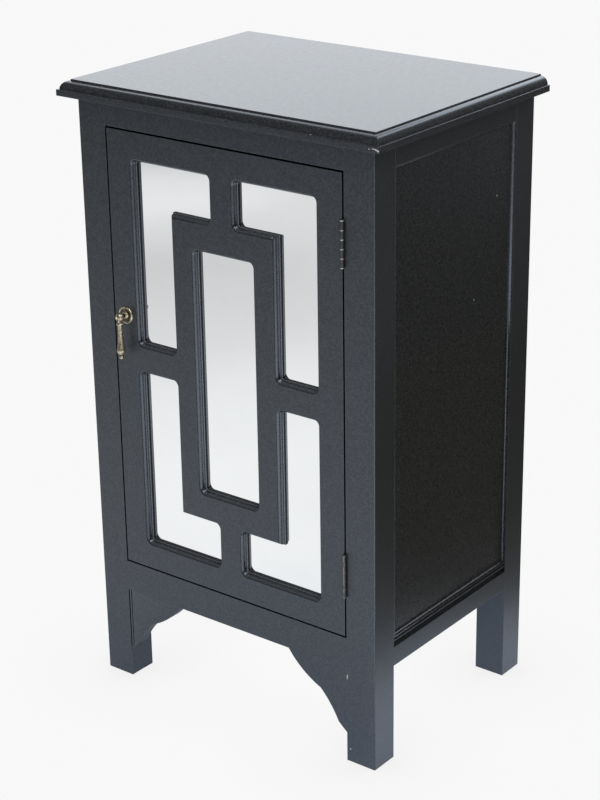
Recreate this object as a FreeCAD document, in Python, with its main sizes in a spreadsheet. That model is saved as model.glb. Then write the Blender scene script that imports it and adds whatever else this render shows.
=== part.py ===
import FreeCAD, Part

import math
import os

import Sketcher
from FreeCAD import Placement, Rotation, Vector

# Accent cabinet: four square legs, rails and panelled sides, a moulded top board, and one
# inset door with a fretwork front over a mirror. Millimetres. +X is the viewer's right, +Y
# the back, +Z up. The origin is on the floor under the middle of the top board.

doc = FreeCAD.newDocument("AccentCabinet")

# Driving dimensions, in millimetres
SIZES = {
    # top board, whose overhangs are measured from the carcass
    "overall_height": 813,
    "top_thickness": 20,
    "side_overhang": 18.5,
    "front_overhang": 18,
    "back_overhang": 4,
    # moulded edge of the top board
    "edge_step": 2,
    "edge_round": 10,
    "edge_ledge": 3,
    "edge_easing": 0.8,
    # carcass under the top board
    "body_width": 446,
    "body_depth": 333,
    "leg_width": 42.6,
    "leg_depth": 40,
    "arris_round": 1.2,
    "rail_thickness": 20,
    "front_rail_height": 32,
    "side_rail_height": 29,
    "rear_rail_height": 40,
    # rail under the door, with a bracket glued below each end
    "apron_thickness": 18,
    "sill_height": 172.5,
    "arch_height": 130,
    "arch_half_width": 89.7,
    "bracket_cusp_out": 139.2,
    "bracket_cusp_height": 90.3,
    "bracket_toe_out": 167.2,
    "bracket_toe_height": 51.5,
    "bracket_foot_height": 40,
    "bracket_swell_radius": 119,
    "bracket_cove_radius": 130,
    "seam_width": 1.2,
    "seam_depth": 3,
    "shim_width": 3.6,
    "shim_seam_width": 0.7,
    # lower side rail: a flat face, a milled groove, a nose and a quirk
    "side_face_height": 27,
    "side_groove_height": 7,
    "side_groove_depth": 5,
    "nose_height": 3.5,
    "nose_inset": 0.8,
    "quirk_height": 1.5,
    "quirk_inset": 2,
    # side panels, held in grooves, with a quarter-round bead in front of each edge
    "panel_recess": 4,
    "panel_thickness": 9,
    "panel_groove": 8,
    "sill_groove": 4,
    "panel_play": 0.5,
    # boards inside
    "board_play": 0.5,
    "bottom_thickness": 12,
    "shelf_height": 455,
    "shelf_thickness": 15,
    "cleat_width": 18,
    "cleat_height": 18,
    "back_thickness": 6,
    "rabbet_width": 8,
    # dowels between rails and legs
    "dowel_radius": 4,
    "dowel_reach": 14,
    "dowel_pitch": 14,
    # door and its fretwork
    "door_gap": 2,
    "door_thickness": 18,
    "door_arris": 0.8,
    "stile_width": 36.4,
    "door_rail_width": 34.1,
    "arm_width": 64,
    "arm_height": 62.8,
    "ring_side_width": 30.4,
    "ring_end_width": 33.7,
    "bridge_width": 33,
    "cross_bridge_height": 32.7,
    "sticking_width": 4,
    "sticking_step": 1,
    "sticking_flat": 0.2,
    "lip_width": 1.2,
    "lip_depth": 8,
    "corner_round": 5,
    # mirror behind the fretwork
    "glass_setback": 10.8,
    "mirror_thickness": 3,
    "mirror_lap": 8,
    "mirror_play": 0.5,
    "clip_length": 24,
    "clip_width": 10,
    "clip_thickness": 1.2,
    "clip_spacing": 170,
    "clip_screw_inset": 6,
    # hinges
    "hinge_length": 56,
    "hinge_inset": 55,
    "leaf_width": 14,
    "leaf_thickness": 0.9,
    "barrel_radius": 2.3,
    "barrel_clearance": 0.3,
    "hinge_pin_radius": 1.2,
    "hinge_pin_head_radius": 1.9,
    "hinge_pin_head_height": 0.8,
    "knuckle_gap": 0.3,
    "hinge_screw_inset": 10,
    # screws with flush heads, for hinges and strike
    "flush_head_radius": 2.2,
    "flush_head_height": 0.5,
    "flush_shank_radius": 1.3,
    "flush_screw_length": 12,
    # screws with raised heads
    "raised_head_radius": 3,
    "raised_head_height": 1.6,
    "raised_shank_radius": 1.4,
    "clip_screw_length": 10,
    "top_screw_length": 30,
    "top_screw_inset": 45,
    "catch_screw_length": 22,
    "screw_clearance": 0.05,
    # nails through the back panel
    "nail_head_radius": 2,
    "nail_head_height": 0.6,
    "nail_radius": 0.8,
    "nail_length": 14,
    "nail_inset": 4,
    "nail_end_inset": 50,
    # drop pull
    "pull_rise": 54.75,
    "rosette_radius": 11.5,
    "rosette_edge": 0.8,
    "rosette_rim_width": 3,
    "rosette_rim_height": 2.2,
    "rosette_dish_height": 1.2,
    "rosette_bend": 1.6,
    "boss_radius": 4.4,
    "boss_flare": 1.2,
    "boss_height": 3.4,
    "pull_reach": 12,
    "ball_radius": 5.5,
    "post_neck_radius": 2.4,
    "post_flange_radius": 3.6,
    "post_flange_height": 1,
    "bolt_radius": 2,
    "bolt_clearance": 0.2,
    "bolt_overrun": 2,
    "tongue_thickness": 3,
    "tongue_width": 4.8,
    "eye_radius": 2.9,
    "slot_clearance": 0.3,
    "slot_depth_back": 3.7,
    "pivot_pin_radius": 1,
    "pivot_pin_inset": 0.2,
    "running_clearance": 0.05,
    "collar_drop": 7.4,
    "collar_height": 3,
    "collar_radius": 3.6,
    "collar_rim_radius": 3,
    "collar_bend": 1.7,
    "throat_drop": 11.6,
    "throat_radius": 2.4,
    "throat_bend": 110,
    "belly_drop": 42,
    "belly_radius": 5.2,
    "belly_bend": 7,
    "base_drop": 50.2,
    "base_radius": 2,
    "finial_drop": 50.6,
    "finial_neck_radius": 1.8,
    "finial_radius": 3,
    "washer_radius": 5,
    "washer_thickness": 1,
    "nut_radius": 4,
    "nut_height": 3.2,
    # magnetic catch on the left front leg
    "catch_drop": 59,
    "catch_width": 12,
    "catch_depth": 20,
    "catch_length": 40,
    "catch_gap": 0.2,
    "catch_screw_pitch": 28,
    "magnet_width": 6,
    "magnet_length": 14,
    "magnet_depth": 9,
    "strike_thickness": 1.2,
    "strike_width": 11,
    "strike_length": 36,
    "strike_screw_pitch": 26,
    "strike_inset": 1,
    # how far a cutter passes the face it opens
    "overrun": 5,
}

sheet = doc.addObject("Spreadsheet::Sheet", "Sizes")
for row, (alias, value) in enumerate(SIZES.items(), start=1):
    sheet.set(f"A{row}", alias)
    sheet.set(f"B{row}", str(value))
    sheet.setAlias(f"B{row}", alias)
doc.recompute()

# Places that several pieces share, worked out from the sheet
TOP_WIDTH = "(Sizes.body_width + 2 * Sizes.side_overhang)"
TOP_DEPTH = "(Sizes.front_overhang + Sizes.body_depth + Sizes.back_overhang)"
FRONT = f"(Sizes.front_overhang - {TOP_DEPTH} / 2)"
BACK = f"({FRONT} + Sizes.body_depth)"
HALF = "(Sizes.body_width / 2)"
LEG_INNER = f"({HALF} - Sizes.leg_width)"
FRONT_LEG_BACK = f"({FRONT} + Sizes.leg_depth)"
REAR_LEG_FRONT = f"({BACK} - Sizes.leg_depth)"
UNDER_TOP = "(Sizes.overall_height - Sizes.top_thickness)"
LINTEL = f"({UNDER_TOP} - Sizes.front_rail_height)"
SIDE_LINTEL = f"({UNDER_TOP} - Sizes.side_rail_height)"
SIDE_FACE_TOP = "(Sizes.arch_height + Sizes.side_face_height)"
SIDE_GROOVE_TOP = f"({SIDE_FACE_TOP} + Sizes.side_groove_height)"
NOSE_TOP = f"({SIDE_GROOVE_TOP} + Sizes.nose_height)"
SIDE_SILL = f"({NOSE_TOP} + Sizes.quirk_height)"
RAIL_INNER = f"({HALF} - Sizes.rail_thickness)"
PANEL_FACE = f"({HALF} - Sizes.panel_recess)"
PANEL_INNER = f"({PANEL_FACE} - Sizes.panel_thickness)"
PANEL_BOTTOM = f"({SIDE_SILL} - Sizes.sill_groove)"
PANEL_TOP = f"({SIDE_LINTEL} + Sizes.panel_groove)"
BACK_PANEL_FRONT = f"({BACK} - Sizes.back_thickness)"
REAR_RAIL_FRONT = f"({BACK_PANEL_FRONT} - Sizes.rail_thickness)"
APRON_BACK = f"({FRONT} + Sizes.apron_thickness)"
DOOR_BACK = f"({FRONT} + Sizes.door_thickness)"
DOOR_HALF_WIDTH = f"({LEG_INNER} - Sizes.door_gap)"
DOOR_HALF_HEIGHT = f"(({LINTEL} - Sizes.sill_height) / 2 - Sizes.door_gap)"
DOOR_CENTRE = f"(({LINTEL} + Sizes.sill_height) / 2)"
GLASS_FRONT = f"({FRONT} + Sizes.glass_setback)"
STILE_CENTRE = f"({DOOR_HALF_WIDTH} - Sizes.stile_width / 2)"
PULL_HEIGHT = f"({DOOR_CENTRE} + Sizes.pull_rise)"
CATCH_HEIGHT = f"({DOOR_CENTRE} + {DOOR_HALF_HEIGHT} - Sizes.catch_drop)"

# The four windows behind the ring, and the ring itself, measured from the door's centre
FRET_OUT = f"({DOOR_HALF_WIDTH} - Sizes.stile_width)"
FRET_UP = f"({DOOR_HALF_HEIGHT} - Sizes.door_rail_width)"
RING_OUT = f"({FRET_OUT} - Sizes.arm_width)"
RING_UP = f"({FRET_UP} - Sizes.arm_height)"
CENTRE_OUT = f"({RING_OUT} - Sizes.ring_side_width)"
CENTRE_UP = f"({RING_UP} - Sizes.ring_end_width)"
REBATE_OUT = f"({FRET_OUT} - Sizes.sticking_width + Sizes.mirror_lap)"
REBATE_UP = f"({FRET_UP} - Sizes.sticking_width + Sizes.mirror_lap)"

# Quarter turns that lay a cylinder's axis along another direction
ALONG_X = Rotation(Vector(0, 1, 0), 90)
AGAINST_X = Rotation(Vector(0, 1, 0), -90)
ALONG_Y = Rotation(Vector(1, 0, 0), -90)
AGAINST_Y = Rotation(Vector(1, 0, 0), 90)
AGAINST_Z = Rotation(Vector(1, 0, 0), 180)
UPRIGHT = Rotation()

FINE = 1e-4
pieces = {}


def number(expression):
    """The value of an expression on the sheet."""
    return float(sheet.evalExpression(expression))


def place(thing, x, y, z, turn=UPRIGHT):
    """Put an object at three expressions, turned by a fixed rotation."""
    thing.Placement = Placement(Vector(), turn)
    thing.setExpression("Placement.Base.x", x)
    thing.setExpression("Placement.Base.y", y)
    thing.setExpression("Placement.Base.z", z)
    return thing


def keep(thing, name):
    """Name a finished piece; its label names its file."""
    thing.Label = name
    pieces[name] = thing
    return thing


def box(x_span, y_span, z_span):
    """A box between three pairs of expressions."""
    block = doc.addObject("Part::Box", "Block")
    for side, (low, high) in zip(("Length", "Width", "Height"), (x_span, y_span, z_span)):
        block.setExpression(side, f"({high}) - ({low})")
    return place(block, x_span[0], y_span[0], z_span[0])


def rod(radius, length, x, y, z, turn=UPRIGHT):
    """A cylinder that starts at a place and runs the way its turn points."""
    cylinder = doc.addObject("Part::Cylinder", "Rod")
    cylinder.setExpression("Radius", radius)
    cylinder.setExpression("Height", length)
    return place(cylinder, x, y, z, turn)


def fuse(*parts):
    """One solid from several that meet."""
    union = doc.addObject("Part::MultiFuse", "Union")
    union.Shapes = list(parts)
    union.Refine = True
    return union


def group(parts):
    """Separate solids under one name."""
    bundle = doc.addObject("Part::Compound", "Bundle")
    bundle.Links = list(parts)
    return bundle


def cut(base, *tools):
    """A piece less its cutters, which have to remove something."""
    result = doc.addObject("Part::Cut", "Cut")
    result.Base = base
    result.Tool = tools[0] if len(tools) == 1 else group(tools)
    doc.recompute()
    if result.Shape.Volume > base.Shape.Volume - FINE:
        raise RuntimeError(f"a cutter misses {base.Label}")
    return result


def mirrored(sign, inner, outer):
    """A span on the right side for sign 1, or the same span on the left for sign -1."""
    if sign > 0:
        return inner, outer
    return f"-({outer})", f"-({inner})"


# Sketch and feature helpers


def new_body(name):
    """An empty body."""
    return doc.addObject("PartDesign::Body", name)


def new_sketch(body, role, offset="0"):
    """A sketch on one of the body's own planes, moved along the plane's normal."""
    plane = [item for item in body.Origin.OriginFeatures if item.Role == role][0]
    sketch = body.newObject("Sketcher::SketchObject", "Outline")
    sketch.AttachmentSupport = (plane, [""])
    sketch.MapMode = "FlatFace"
    if offset != "0":
        sketch.setExpression("AttachmentOffset.Base.z", offset)
    return sketch


def bind(sketch, kind, geometry, point, expression):
    """Hold one coordinate of a point, or a radius, at an expression."""
    value = number(expression)
    if kind == "Radius":
        constraint = Sketcher.Constraint(kind, geometry, value)
    elif abs(value) < FINE:
        axis = -2 if kind == "DistanceX" else -1
        sketch.addConstraint(Sketcher.Constraint("PointOnObject", geometry, point, axis))
        return
    else:
        constraint = Sketcher.Constraint(kind, -1, 1, geometry, point, value)
    index = sketch.addConstraint(constraint)
    name = f"size_{index}"
    sketch.renameConstraint(index, name)
    sketch.setExpression(f"Constraints.{name}", expression)


def arc_between(start, end, radius, side):
    """The short arc from start to end; side 1 has its centre on the left of the way."""
    chord = end - start
    middle = (start + end) / 2
    left = Vector(-chord.y, chord.x, 0).normalize()
    rise = math.sqrt(max(radius * radius - chord.Length * chord.Length / 4, 0))
    centre = middle + left * (rise * side)
    first, last = (start, end) if side > 0 else (end, start)
    begin = math.atan2(first.y - centre.y, first.x - centre.x)
    finish = math.atan2(last.y - centre.y, last.x - centre.x)
    if finish < begin:
        finish += 2 * math.pi
    circle = Part.Circle(centre, Vector(0, 0, 1), radius)
    return Part.ArcOfCircle(circle, begin, finish)


def trace(sketch, corners):
    """A closed outline. Each corner is x, y and the bend to the next: None or (radius, side)."""
    points = [Vector(number(x), number(y), 0) for x, y, _ in corners]
    ends = []
    for i, (_, _, bend) in enumerate(corners):
        start, end = points[i], points[(i + 1) % len(points)]
        if bend is None:
            ends.append((sketch.addGeometry(Part.LineSegment(start, end), False), 1, 2))
        else:
            arc = arc_between(start, end, number(bend[0]), bend[1])
            first, last = (1, 2) if bend[1] > 0 else (2, 1)
            ends.append((sketch.addGeometry(arc, False), first, last))
    for i, (geometry, _, last) in enumerate(ends):
        following, first, _ = ends[(i + 1) % len(ends)]
        sketch.addConstraint(Sketcher.Constraint("Coincident", geometry, last, following, first))
    for (geometry, first, _), (x, y, bend) in zip(ends, corners):
        bind(sketch, "DistanceX", geometry, first, x)
        bind(sketch, "DistanceY", geometry, first, y)
        if bend is not None:
            bind(sketch, "Radius", geometry, 0, bend[0])


def rectangle(sketch, x_span, y_span):
    """A rectangle between two pairs of expressions."""
    (left, right), (low, high) = x_span, y_span
    trace(sketch, [(left, low, None), (right, low, None), (right, high, None), (left, high, None)])


def pad(body, sketch, length, reverse=False):
    """Thicken a sketch."""
    feature = body.newObject("PartDesign::Pad", "Pad")
    feature.Profile = sketch
    feature.setExpression("Length", length)
    feature.Reversed = reverse
    body.Tip = feature
    doc.recompute()
    return feature


def pocket(body, sketch, depth=None, reverse=False):
    """Cut a sketch into the body, right through where no depth is given."""
    before = body.Shape.Volume
    feature = body.newObject("PartDesign::Pocket", "Pocket")
    feature.Profile = sketch
    if depth is None:
        feature.Type = "ThroughAll"
    else:
        feature.setExpression("Length", depth)
    feature.Reversed = reverse
    body.Tip = feature
    doc.recompute()
    if body.Shape.Volume > before - FINE:
        raise RuntimeError(f"a pocket misses {body.Label}")
    return feature


def ease(body, radius, chosen):
    """Round the edges that a test picks."""
    tip = body.Tip
    names = [f"Edge{i}" for i, edge in enumerate(tip.Shape.Edges, start=1) if chosen(edge)]
    if not names:
        raise RuntimeError(f"no edge to round on {body.Label}")
    feature = body.newObject("PartDesign::Fillet", "Fillet")
    feature.Base = (tip, names)
    feature.setExpression("Radius", radius)
    body.Tip = feature
    doc.recompute()
    return feature


def revolve(body, sketch, axis):
    """Turn a sketch once round one of its own axes."""
    feature = body.newObject("PartDesign::Revolution", "Revolution")
    feature.Profile = sketch
    feature.ReferenceAxis = (sketch, [axis])
    feature.Angle = 360
    body.Tip = feature
    doc.recompute()
    return feature


def along(edge, x=None, y=None, z=None):
    """True for an edge that lies all along the given coordinates, in the body's own frame."""
    reach = edge.BoundBox
    wanted = ((x, reach.XMin, reach.XMax), (y, reach.YMin, reach.YMax), (z, reach.ZMin, reach.ZMax))
    return all(at is None or max(abs(low - at), abs(high - at)) < FINE for at, low, high in wanted)


# Fasteners, each with the hole it goes into


def flush_screw(x, y, z, turn):
    """A small screw whose flat head sinks into a plate; x, y, z is the top of the head."""
    head = rod("Sizes.flush_head_radius", "Sizes.flush_head_height", x, y, z, turn)
    shank = rod("Sizes.flush_shank_radius", "Sizes.flush_screw_length", x, y, z, turn)
    wide = "Sizes.flush_head_radius + Sizes.screw_clearance"
    narrow = "Sizes.flush_shank_radius + Sizes.screw_clearance"
    sink = rod(wide, "Sizes.flush_head_height", x, y, z, turn)
    pilot = rod(narrow, "Sizes.flush_screw_length + Sizes.screw_clearance", x, y, z, turn)
    return fuse(head, shank), fuse(sink, pilot)


def raised_screw(x, y, z, length, axis, sense):
    """A screw whose head stands on the face at x, y, z, driven along an axis."""
    turn, back_turn = {
        ("x", 1): (ALONG_X, AGAINST_X),
        ("x", -1): (AGAINST_X, ALONG_X),
        ("y", 1): (ALONG_Y, AGAINST_Y),
        ("y", -1): (AGAINST_Y, ALONG_Y),
        ("z", 1): (UPRIGHT, AGAINST_Z),
    }[(axis, sense)]
    head = rod("Sizes.raised_head_radius", "Sizes.raised_head_height", x, y, z, back_turn)
    shank = rod("Sizes.raised_shank_radius", length, x, y, z, turn)
    narrow = "Sizes.raised_shank_radius + Sizes.screw_clearance"
    pilot = rod(narrow, f"{length} + Sizes.screw_clearance", x, y, z, turn)
    return fuse(head, shank), pilot


def dowel(x, y, z, axis):
    """A dowel centred on a joint, with the hole for it."""
    turn = {"x": ALONG_X, "y": ALONG_Y}[axis]
    reach = "Sizes.dowel_reach"
    slack = "(Sizes.dowel_reach + Sizes.screw_clearance)"
    start = {"x": (f"{x} - {reach}", y, z), "y": (x, f"{y} - {reach}", z)}[axis]
    deep = {"x": (f"{x} - {slack}", y, z), "y": (x, f"{y} - {slack}", z)}[axis]
    pin = rod("Sizes.dowel_radius", f"2 * {reach}", *start, turn)
    hole = rod("Sizes.dowel_radius + Sizes.screw_clearance", f"2 * {slack}", *deep, turn)
    return pin, hole


# Dowels: two at each end of the front and rear rails, one at each end of the side rails


def rail_dowels():
    """All dowels and their holes."""
    rows = []
    across = [
        (f"{FRONT} + Sizes.rail_thickness / 2", f"({UNDER_TOP} + {LINTEL}) / 2"),
        (f"{FRONT} + Sizes.apron_thickness / 2", "(Sizes.sill_height + Sizes.arch_height) / 2"),
        (f"{REAR_RAIL_FRONT} + Sizes.rail_thickness / 2", f"{UNDER_TOP} - Sizes.rear_rail_height / 2"),
        (f"{REAR_RAIL_FRONT} + Sizes.rail_thickness / 2", "Sizes.arch_height + Sizes.rear_rail_height / 2"),
    ]
    for y, middle in across:
        for sign in (-1, 1):
            for step in (-1, 1):
                z = f"{middle} + {step} * Sizes.dowel_pitch / 2"
                rows.append(dowel(f"{sign} * {LEG_INNER}", y, z, "x"))
    heights = [f"({UNDER_TOP} + {SIDE_LINTEL}) / 2", "Sizes.arch_height + Sizes.side_face_height / 2"]
    for middle in heights:
        for sign in (-1, 1):
            for y in (FRONT_LEG_BACK, REAR_LEG_FRONT):
                x = f"{sign} * ({HALF} - Sizes.rail_thickness / 2)"
                rows.append(dowel(x, y, middle, "y"))
    return [pin for pin, _ in rows], [hole for _, hole in rows]


dowel_pins, dowel_holes = rail_dowels()
keep(group(dowel_pins), "rail_dowels")
all_dowel_holes = group(dowel_holes)


# Hinges: a leaf on the door's edge, a leaf on the leg, five knuckles and a pin


HINGE_X = f"({LEG_INNER} - Sizes.door_gap / 2)"
PIN_STANDOFF = "(Sizes.barrel_radius + Sizes.barrel_clearance)"
HINGE_Y = f"({FRONT} - {PIN_STANDOFF})"
KNUCKLES = 5
KNUCKLE = f"((Sizes.hinge_length - {KNUCKLES - 1} * Sizes.knuckle_gap) / {KNUCKLES})"
HINGE_HEIGHTS = {
    "upper": f"({DOOR_CENTRE} + {DOOR_HALF_HEIGHT} - Sizes.hinge_inset - Sizes.hinge_length)",
    "lower": f"({DOOR_CENTRE} - {DOOR_HALF_HEIGHT} + Sizes.hinge_inset)",
}


def hinge_leaf(sign, low):
    """One leaf with its own knuckles: sign -1 is the door's side, 1 the leg's."""
    outer = f"{HINGE_X} + {sign} * Sizes.door_gap / 2"
    inner = f"{HINGE_X} + {sign} * (Sizes.door_gap / 2 - Sizes.leaf_thickness)"
    x_span = (inner, outer) if sign > 0 else (outer, inner)
    top = f"{low} + Sizes.hinge_length"
    parts = [box(x_span, (FRONT, f"{FRONT} + Sizes.leaf_width"), (low, top))]
    for i in range(0 if sign > 0 else 1, KNUCKLES, 2):
        start = f"{low} + {i} * ({KNUCKLE} + Sizes.knuckle_gap)"
        parts.append(rod("Sizes.barrel_radius", KNUCKLE, HINGE_X, HINGE_Y, start))
        parts.append(box(x_span, (HINGE_Y, FRONT), (start, f"{start} + {KNUCKLE}")))
    bore = rod("Sizes.hinge_pin_radius + Sizes.running_clearance", "Sizes.hinge_length",
               HINGE_X, HINGE_Y, low)
    return cut(fuse(*parts), bore)


def hinge_screws(sign, low):
    """The two flush screws of one leaf."""
    face = f"{HINGE_X} + {sign} * (Sizes.door_gap / 2 - Sizes.leaf_thickness)"
    middle = f"{FRONT} + Sizes.leaf_width / 2"
    turn = ALONG_X if sign > 0 else AGAINST_X
    ends = (f"{low} + Sizes.hinge_screw_inset",
            f"{low} + Sizes.hinge_length - Sizes.hinge_screw_inset")
    return [flush_screw(face, middle, z, turn) for z in ends]


def hinge_pin(low):
    """The pin, headed at both ends."""
    top = f"{low} + Sizes.hinge_length"
    shaft = rod("Sizes.hinge_pin_radius", "Sizes.hinge_length", HINGE_X, HINGE_Y, low)
    caps = [
        rod("Sizes.hinge_pin_head_radius", "Sizes.hinge_pin_head_height", HINGE_X, HINGE_Y, top),
        rod("Sizes.hinge_pin_head_radius", "Sizes.hinge_pin_head_height", HINGE_X, HINGE_Y, low,
            AGAINST_Z),
    ]
    return fuse(shaft, *caps)


door_screws = []
frame_screws = []
for level, low in HINGE_HEIGHTS.items():
    for sign, side, screws in ((-1, "door", door_screws), (1, "frame", frame_screws)):
        own = hinge_screws(sign, low)
        screws.extend(own)
        keep(cut(hinge_leaf(sign, low), *[hole for _, hole in own]), f"{level}_hinge_{side}_leaf")
    keep(hinge_pin(low), f"{level}_hinge_pin")
keep(group([screw for screw, _ in door_screws]), "hinge_door_screws")
keep(group([screw for screw, _ in frame_screws]), "hinge_frame_screws")


# Magnetic catch on the left front leg, and the strike plate on the door's back


CATCH_FRONT = f"({DOOR_BACK} + Sizes.strike_thickness + Sizes.catch_gap)"
CATCH_INNER = f"(-{LEG_INNER} + Sizes.catch_width)"
CATCH_MIDDLE = f"(-{LEG_INNER} + Sizes.catch_width / 2)"
CATCH_SPAN = (f"{CATCH_HEIGHT} - Sizes.catch_length / 2", f"{CATCH_HEIGHT} + Sizes.catch_length / 2")


def catch_screws():
    """Two screws through the catch body into the leg."""
    middle = f"{CATCH_FRONT} + Sizes.catch_depth / 2"
    return [
        raised_screw(CATCH_INNER, middle,
                     f"{CATCH_HEIGHT} + {step} * Sizes.catch_screw_pitch / 2",
                     "Sizes.catch_screw_length", "x", -1)
        for step in (-1, 1)
    ]


def magnet_box():
    """The bar magnet, flush with the front of the catch."""
    x_span = (f"{CATCH_MIDDLE} - Sizes.magnet_width / 2", f"{CATCH_MIDDLE} + Sizes.magnet_width / 2")
    z_span = (f"{CATCH_HEIGHT} - Sizes.magnet_length / 2",
              f"{CATCH_HEIGHT} + Sizes.magnet_length / 2")
    return box(x_span, (CATCH_FRONT, f"{CATCH_FRONT} + Sizes.magnet_depth"), z_span)


def strike_screws():
    """Two flush screws through the strike plate into the door."""
    face = f"{DOOR_BACK} + Sizes.strike_thickness"
    middle = f"-{DOOR_HALF_WIDTH} + Sizes.strike_inset + Sizes.strike_width / 2"
    return [
        flush_screw(middle, face, f"{CATCH_HEIGHT} + {step} * Sizes.strike_screw_pitch / 2",
                    AGAINST_Y)
        for step in (-1, 1)
    ]


def strike_blank():
    """The strike plate before its holes."""
    x_span = (f"-{DOOR_HALF_WIDTH} + Sizes.strike_inset",
              f"-{DOOR_HALF_WIDTH} + Sizes.strike_inset + Sizes.strike_width")
    z_span = (f"{CATCH_HEIGHT} - Sizes.strike_length / 2",
              f"{CATCH_HEIGHT} + Sizes.strike_length / 2")
    return box(x_span, (DOOR_BACK, f"{DOOR_BACK} + Sizes.strike_thickness"), z_span)


catch_fixings = catch_screws()
strike_fixings = strike_screws()
catch_blank = box((f"-{LEG_INNER}", CATCH_INNER),
                  (CATCH_FRONT, f"{CATCH_FRONT} + Sizes.catch_depth"), CATCH_SPAN)
keep(cut(catch_blank, magnet_box(), *[hole for _, hole in catch_fixings]), "catch_body")
keep(magnet_box(), "catch_magnet")
keep(group([screw for screw, _ in catch_fixings]), "catch_screws")
keep(cut(strike_blank(), *[hole for _, hole in strike_fixings]), "strike_plate")
keep(group([screw for screw, _ in strike_fixings]), "strike_screws")


# Nails round the back panel


def nail(x, z):
    """A nail driven forwards from the back, with the hole for it."""
    head = rod("Sizes.nail_head_radius", "Sizes.nail_head_height", x, BACK, z, ALONG_Y)
    shank = rod("Sizes.nail_radius", "Sizes.nail_length", x, BACK, z, AGAINST_Y)
    hole = rod("Sizes.nail_radius + Sizes.screw_clearance",
               "Sizes.nail_length + Sizes.screw_clearance", x, BACK, z, AGAINST_Y)
    return fuse(head, shank), hole


def nail_rows():
    """Nails down both sides into the legs, and along the top and bottom into the rails."""
    rows = []
    low = "(Sizes.arch_height + Sizes.nail_end_inset)"
    high = f"({UNDER_TOP} - Sizes.nail_end_inset)"
    down = 4
    for sign in (-1, 1):
        for i in range(down + 1):
            z = f"{low} + {i} * ({high} - {low}) / {down}"
            rows.append(nail(f"{sign} * ({LEG_INNER} + Sizes.nail_inset)", z))
    across = 3
    for z in ("Sizes.arch_height + Sizes.rear_rail_height / 2",
              f"{UNDER_TOP} - Sizes.rear_rail_height / 2"):
        for i in range(1, across + 1):
            x = f"-{LEG_INNER} + {2 * i} * {LEG_INNER} / {across + 1}"
            rows.append(nail(x, z))
    return rows


nails = nail_rows()
nail_holes = group([hole for _, hole in nails])
keep(group([pin for pin, _ in nails]), "back_nails")


# Top board: a slab whose front and side edges are moulded, and whose back is plain


def edge_profile(sketch, sign, face):
    """The waste outside the moulding: step, quarter round, ledge and fascia."""
    top = "Sizes.top_thickness"
    round_foot = f"({top} - Sizes.edge_step - Sizes.edge_round)"
    ledge_in = f"({face} - Sizes.edge_ledge)"
    flat_edge = f"({ledge_in} - Sizes.edge_round)"
    out = f"({face} + Sizes.overrun)"
    up = f"({top} + Sizes.overrun)"
    run = [
        (flat_edge, up, None),
        (flat_edge, f"({top} - Sizes.edge_step)", ("Sizes.edge_round", -1)),
        (ledge_in, round_foot, None),
        (out, round_foot, None),
        (out, up, None),
    ]
    if sign < 0:
        run = [(f"-{x}", y, bend and (bend[0], -bend[1])) for x, y, bend in run]
    trace(sketch, run)


def top_board():
    """The slab, placed with its underside on the legs."""
    body = new_body("TopBoard")
    slab = new_sketch(body, "XY_Plane")
    half_width = f"({TOP_WIDTH} / 2)"
    half_depth = f"({TOP_DEPTH} / 2)"
    rectangle(slab, (f"-{half_width}", half_width), (f"-{half_depth}", half_depth))
    pad(body, slab, "Sizes.top_thickness")
    sides = new_sketch(body, "XZ_Plane", f"-{half_depth} - Sizes.overrun")
    edge_profile(sides, 1, half_width)
    edge_profile(sides, -1, half_width)
    pocket(body, sides, f"{TOP_DEPTH} + 2 * Sizes.overrun", reverse=True)
    front = new_sketch(body, "YZ_Plane", f"{half_width} + Sizes.overrun")
    edge_profile(front, -1, half_depth)
    pocket(body, front, f"{TOP_WIDTH} + 2 * Sizes.overrun")
    thickness = number("Sizes.top_thickness")
    ease(body, "Sizes.edge_easing", lambda edge: along(edge, z=thickness) and not along(
        edge, y=number(half_depth)))
    return place(body, "0", "0", UNDER_TOP)


# Legs


def leg(x_sign, y_sign, name):
    """A square leg: groove for the side panel, and a rabbet for the back on a rear leg."""
    body = new_body("Leg")
    plan = new_sketch(body, "XY_Plane")
    x_span = mirrored(x_sign, LEG_INNER, HALF)
    y_span = (FRONT, FRONT_LEG_BACK) if y_sign < 0 else (REAR_LEG_FRONT, BACK)
    rectangle(plan, x_span, y_span)
    pad(body, plan, UNDER_TOP)
    corner_x = x_sign * number(HALF)
    corner_y = number(FRONT if y_sign < 0 else BACK)
    ease(body, "Sizes.arris_round", lambda edge: along(edge, x=corner_x, y=corner_y))
    groove = new_sketch(body, "XY_Plane", PANEL_BOTTOM)
    panel_span = mirrored(x_sign, PANEL_INNER, PANEL_FACE)
    if y_sign < 0:
        depth_span = (f"{FRONT_LEG_BACK} - Sizes.panel_groove", f"{FRONT_LEG_BACK} + Sizes.overrun")
    else:
        depth_span = (f"{REAR_LEG_FRONT} - Sizes.overrun", f"{REAR_LEG_FRONT} + Sizes.panel_groove")
    rectangle(groove, panel_span, depth_span)
    pocket(body, groove, f"{PANEL_TOP} - {PANEL_BOTTOM}", reverse=True)
    if y_sign > 0:
        rabbet = new_sketch(body, "XY_Plane", "Sizes.arch_height")
        span = mirrored(x_sign, f"{LEG_INNER} - Sizes.overrun", f"{LEG_INNER} + Sizes.rabbet_width")
        rectangle(rabbet, span, (BACK_PANEL_FRONT, f"{BACK} + Sizes.overrun"))
        pocket(body, rabbet, f"{UNDER_TOP} - Sizes.arch_height", reverse=True)
        return keep(cut(body, all_dowel_holes, nail_holes), name)
    if x_sign > 0:
        return keep(cut(body, all_dowel_holes, *[hole for _, hole in frame_screws]), name)
    return keep(cut(body, all_dowel_holes, *[hole for _, hole in catch_fixings]), name)


# Rails


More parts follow.
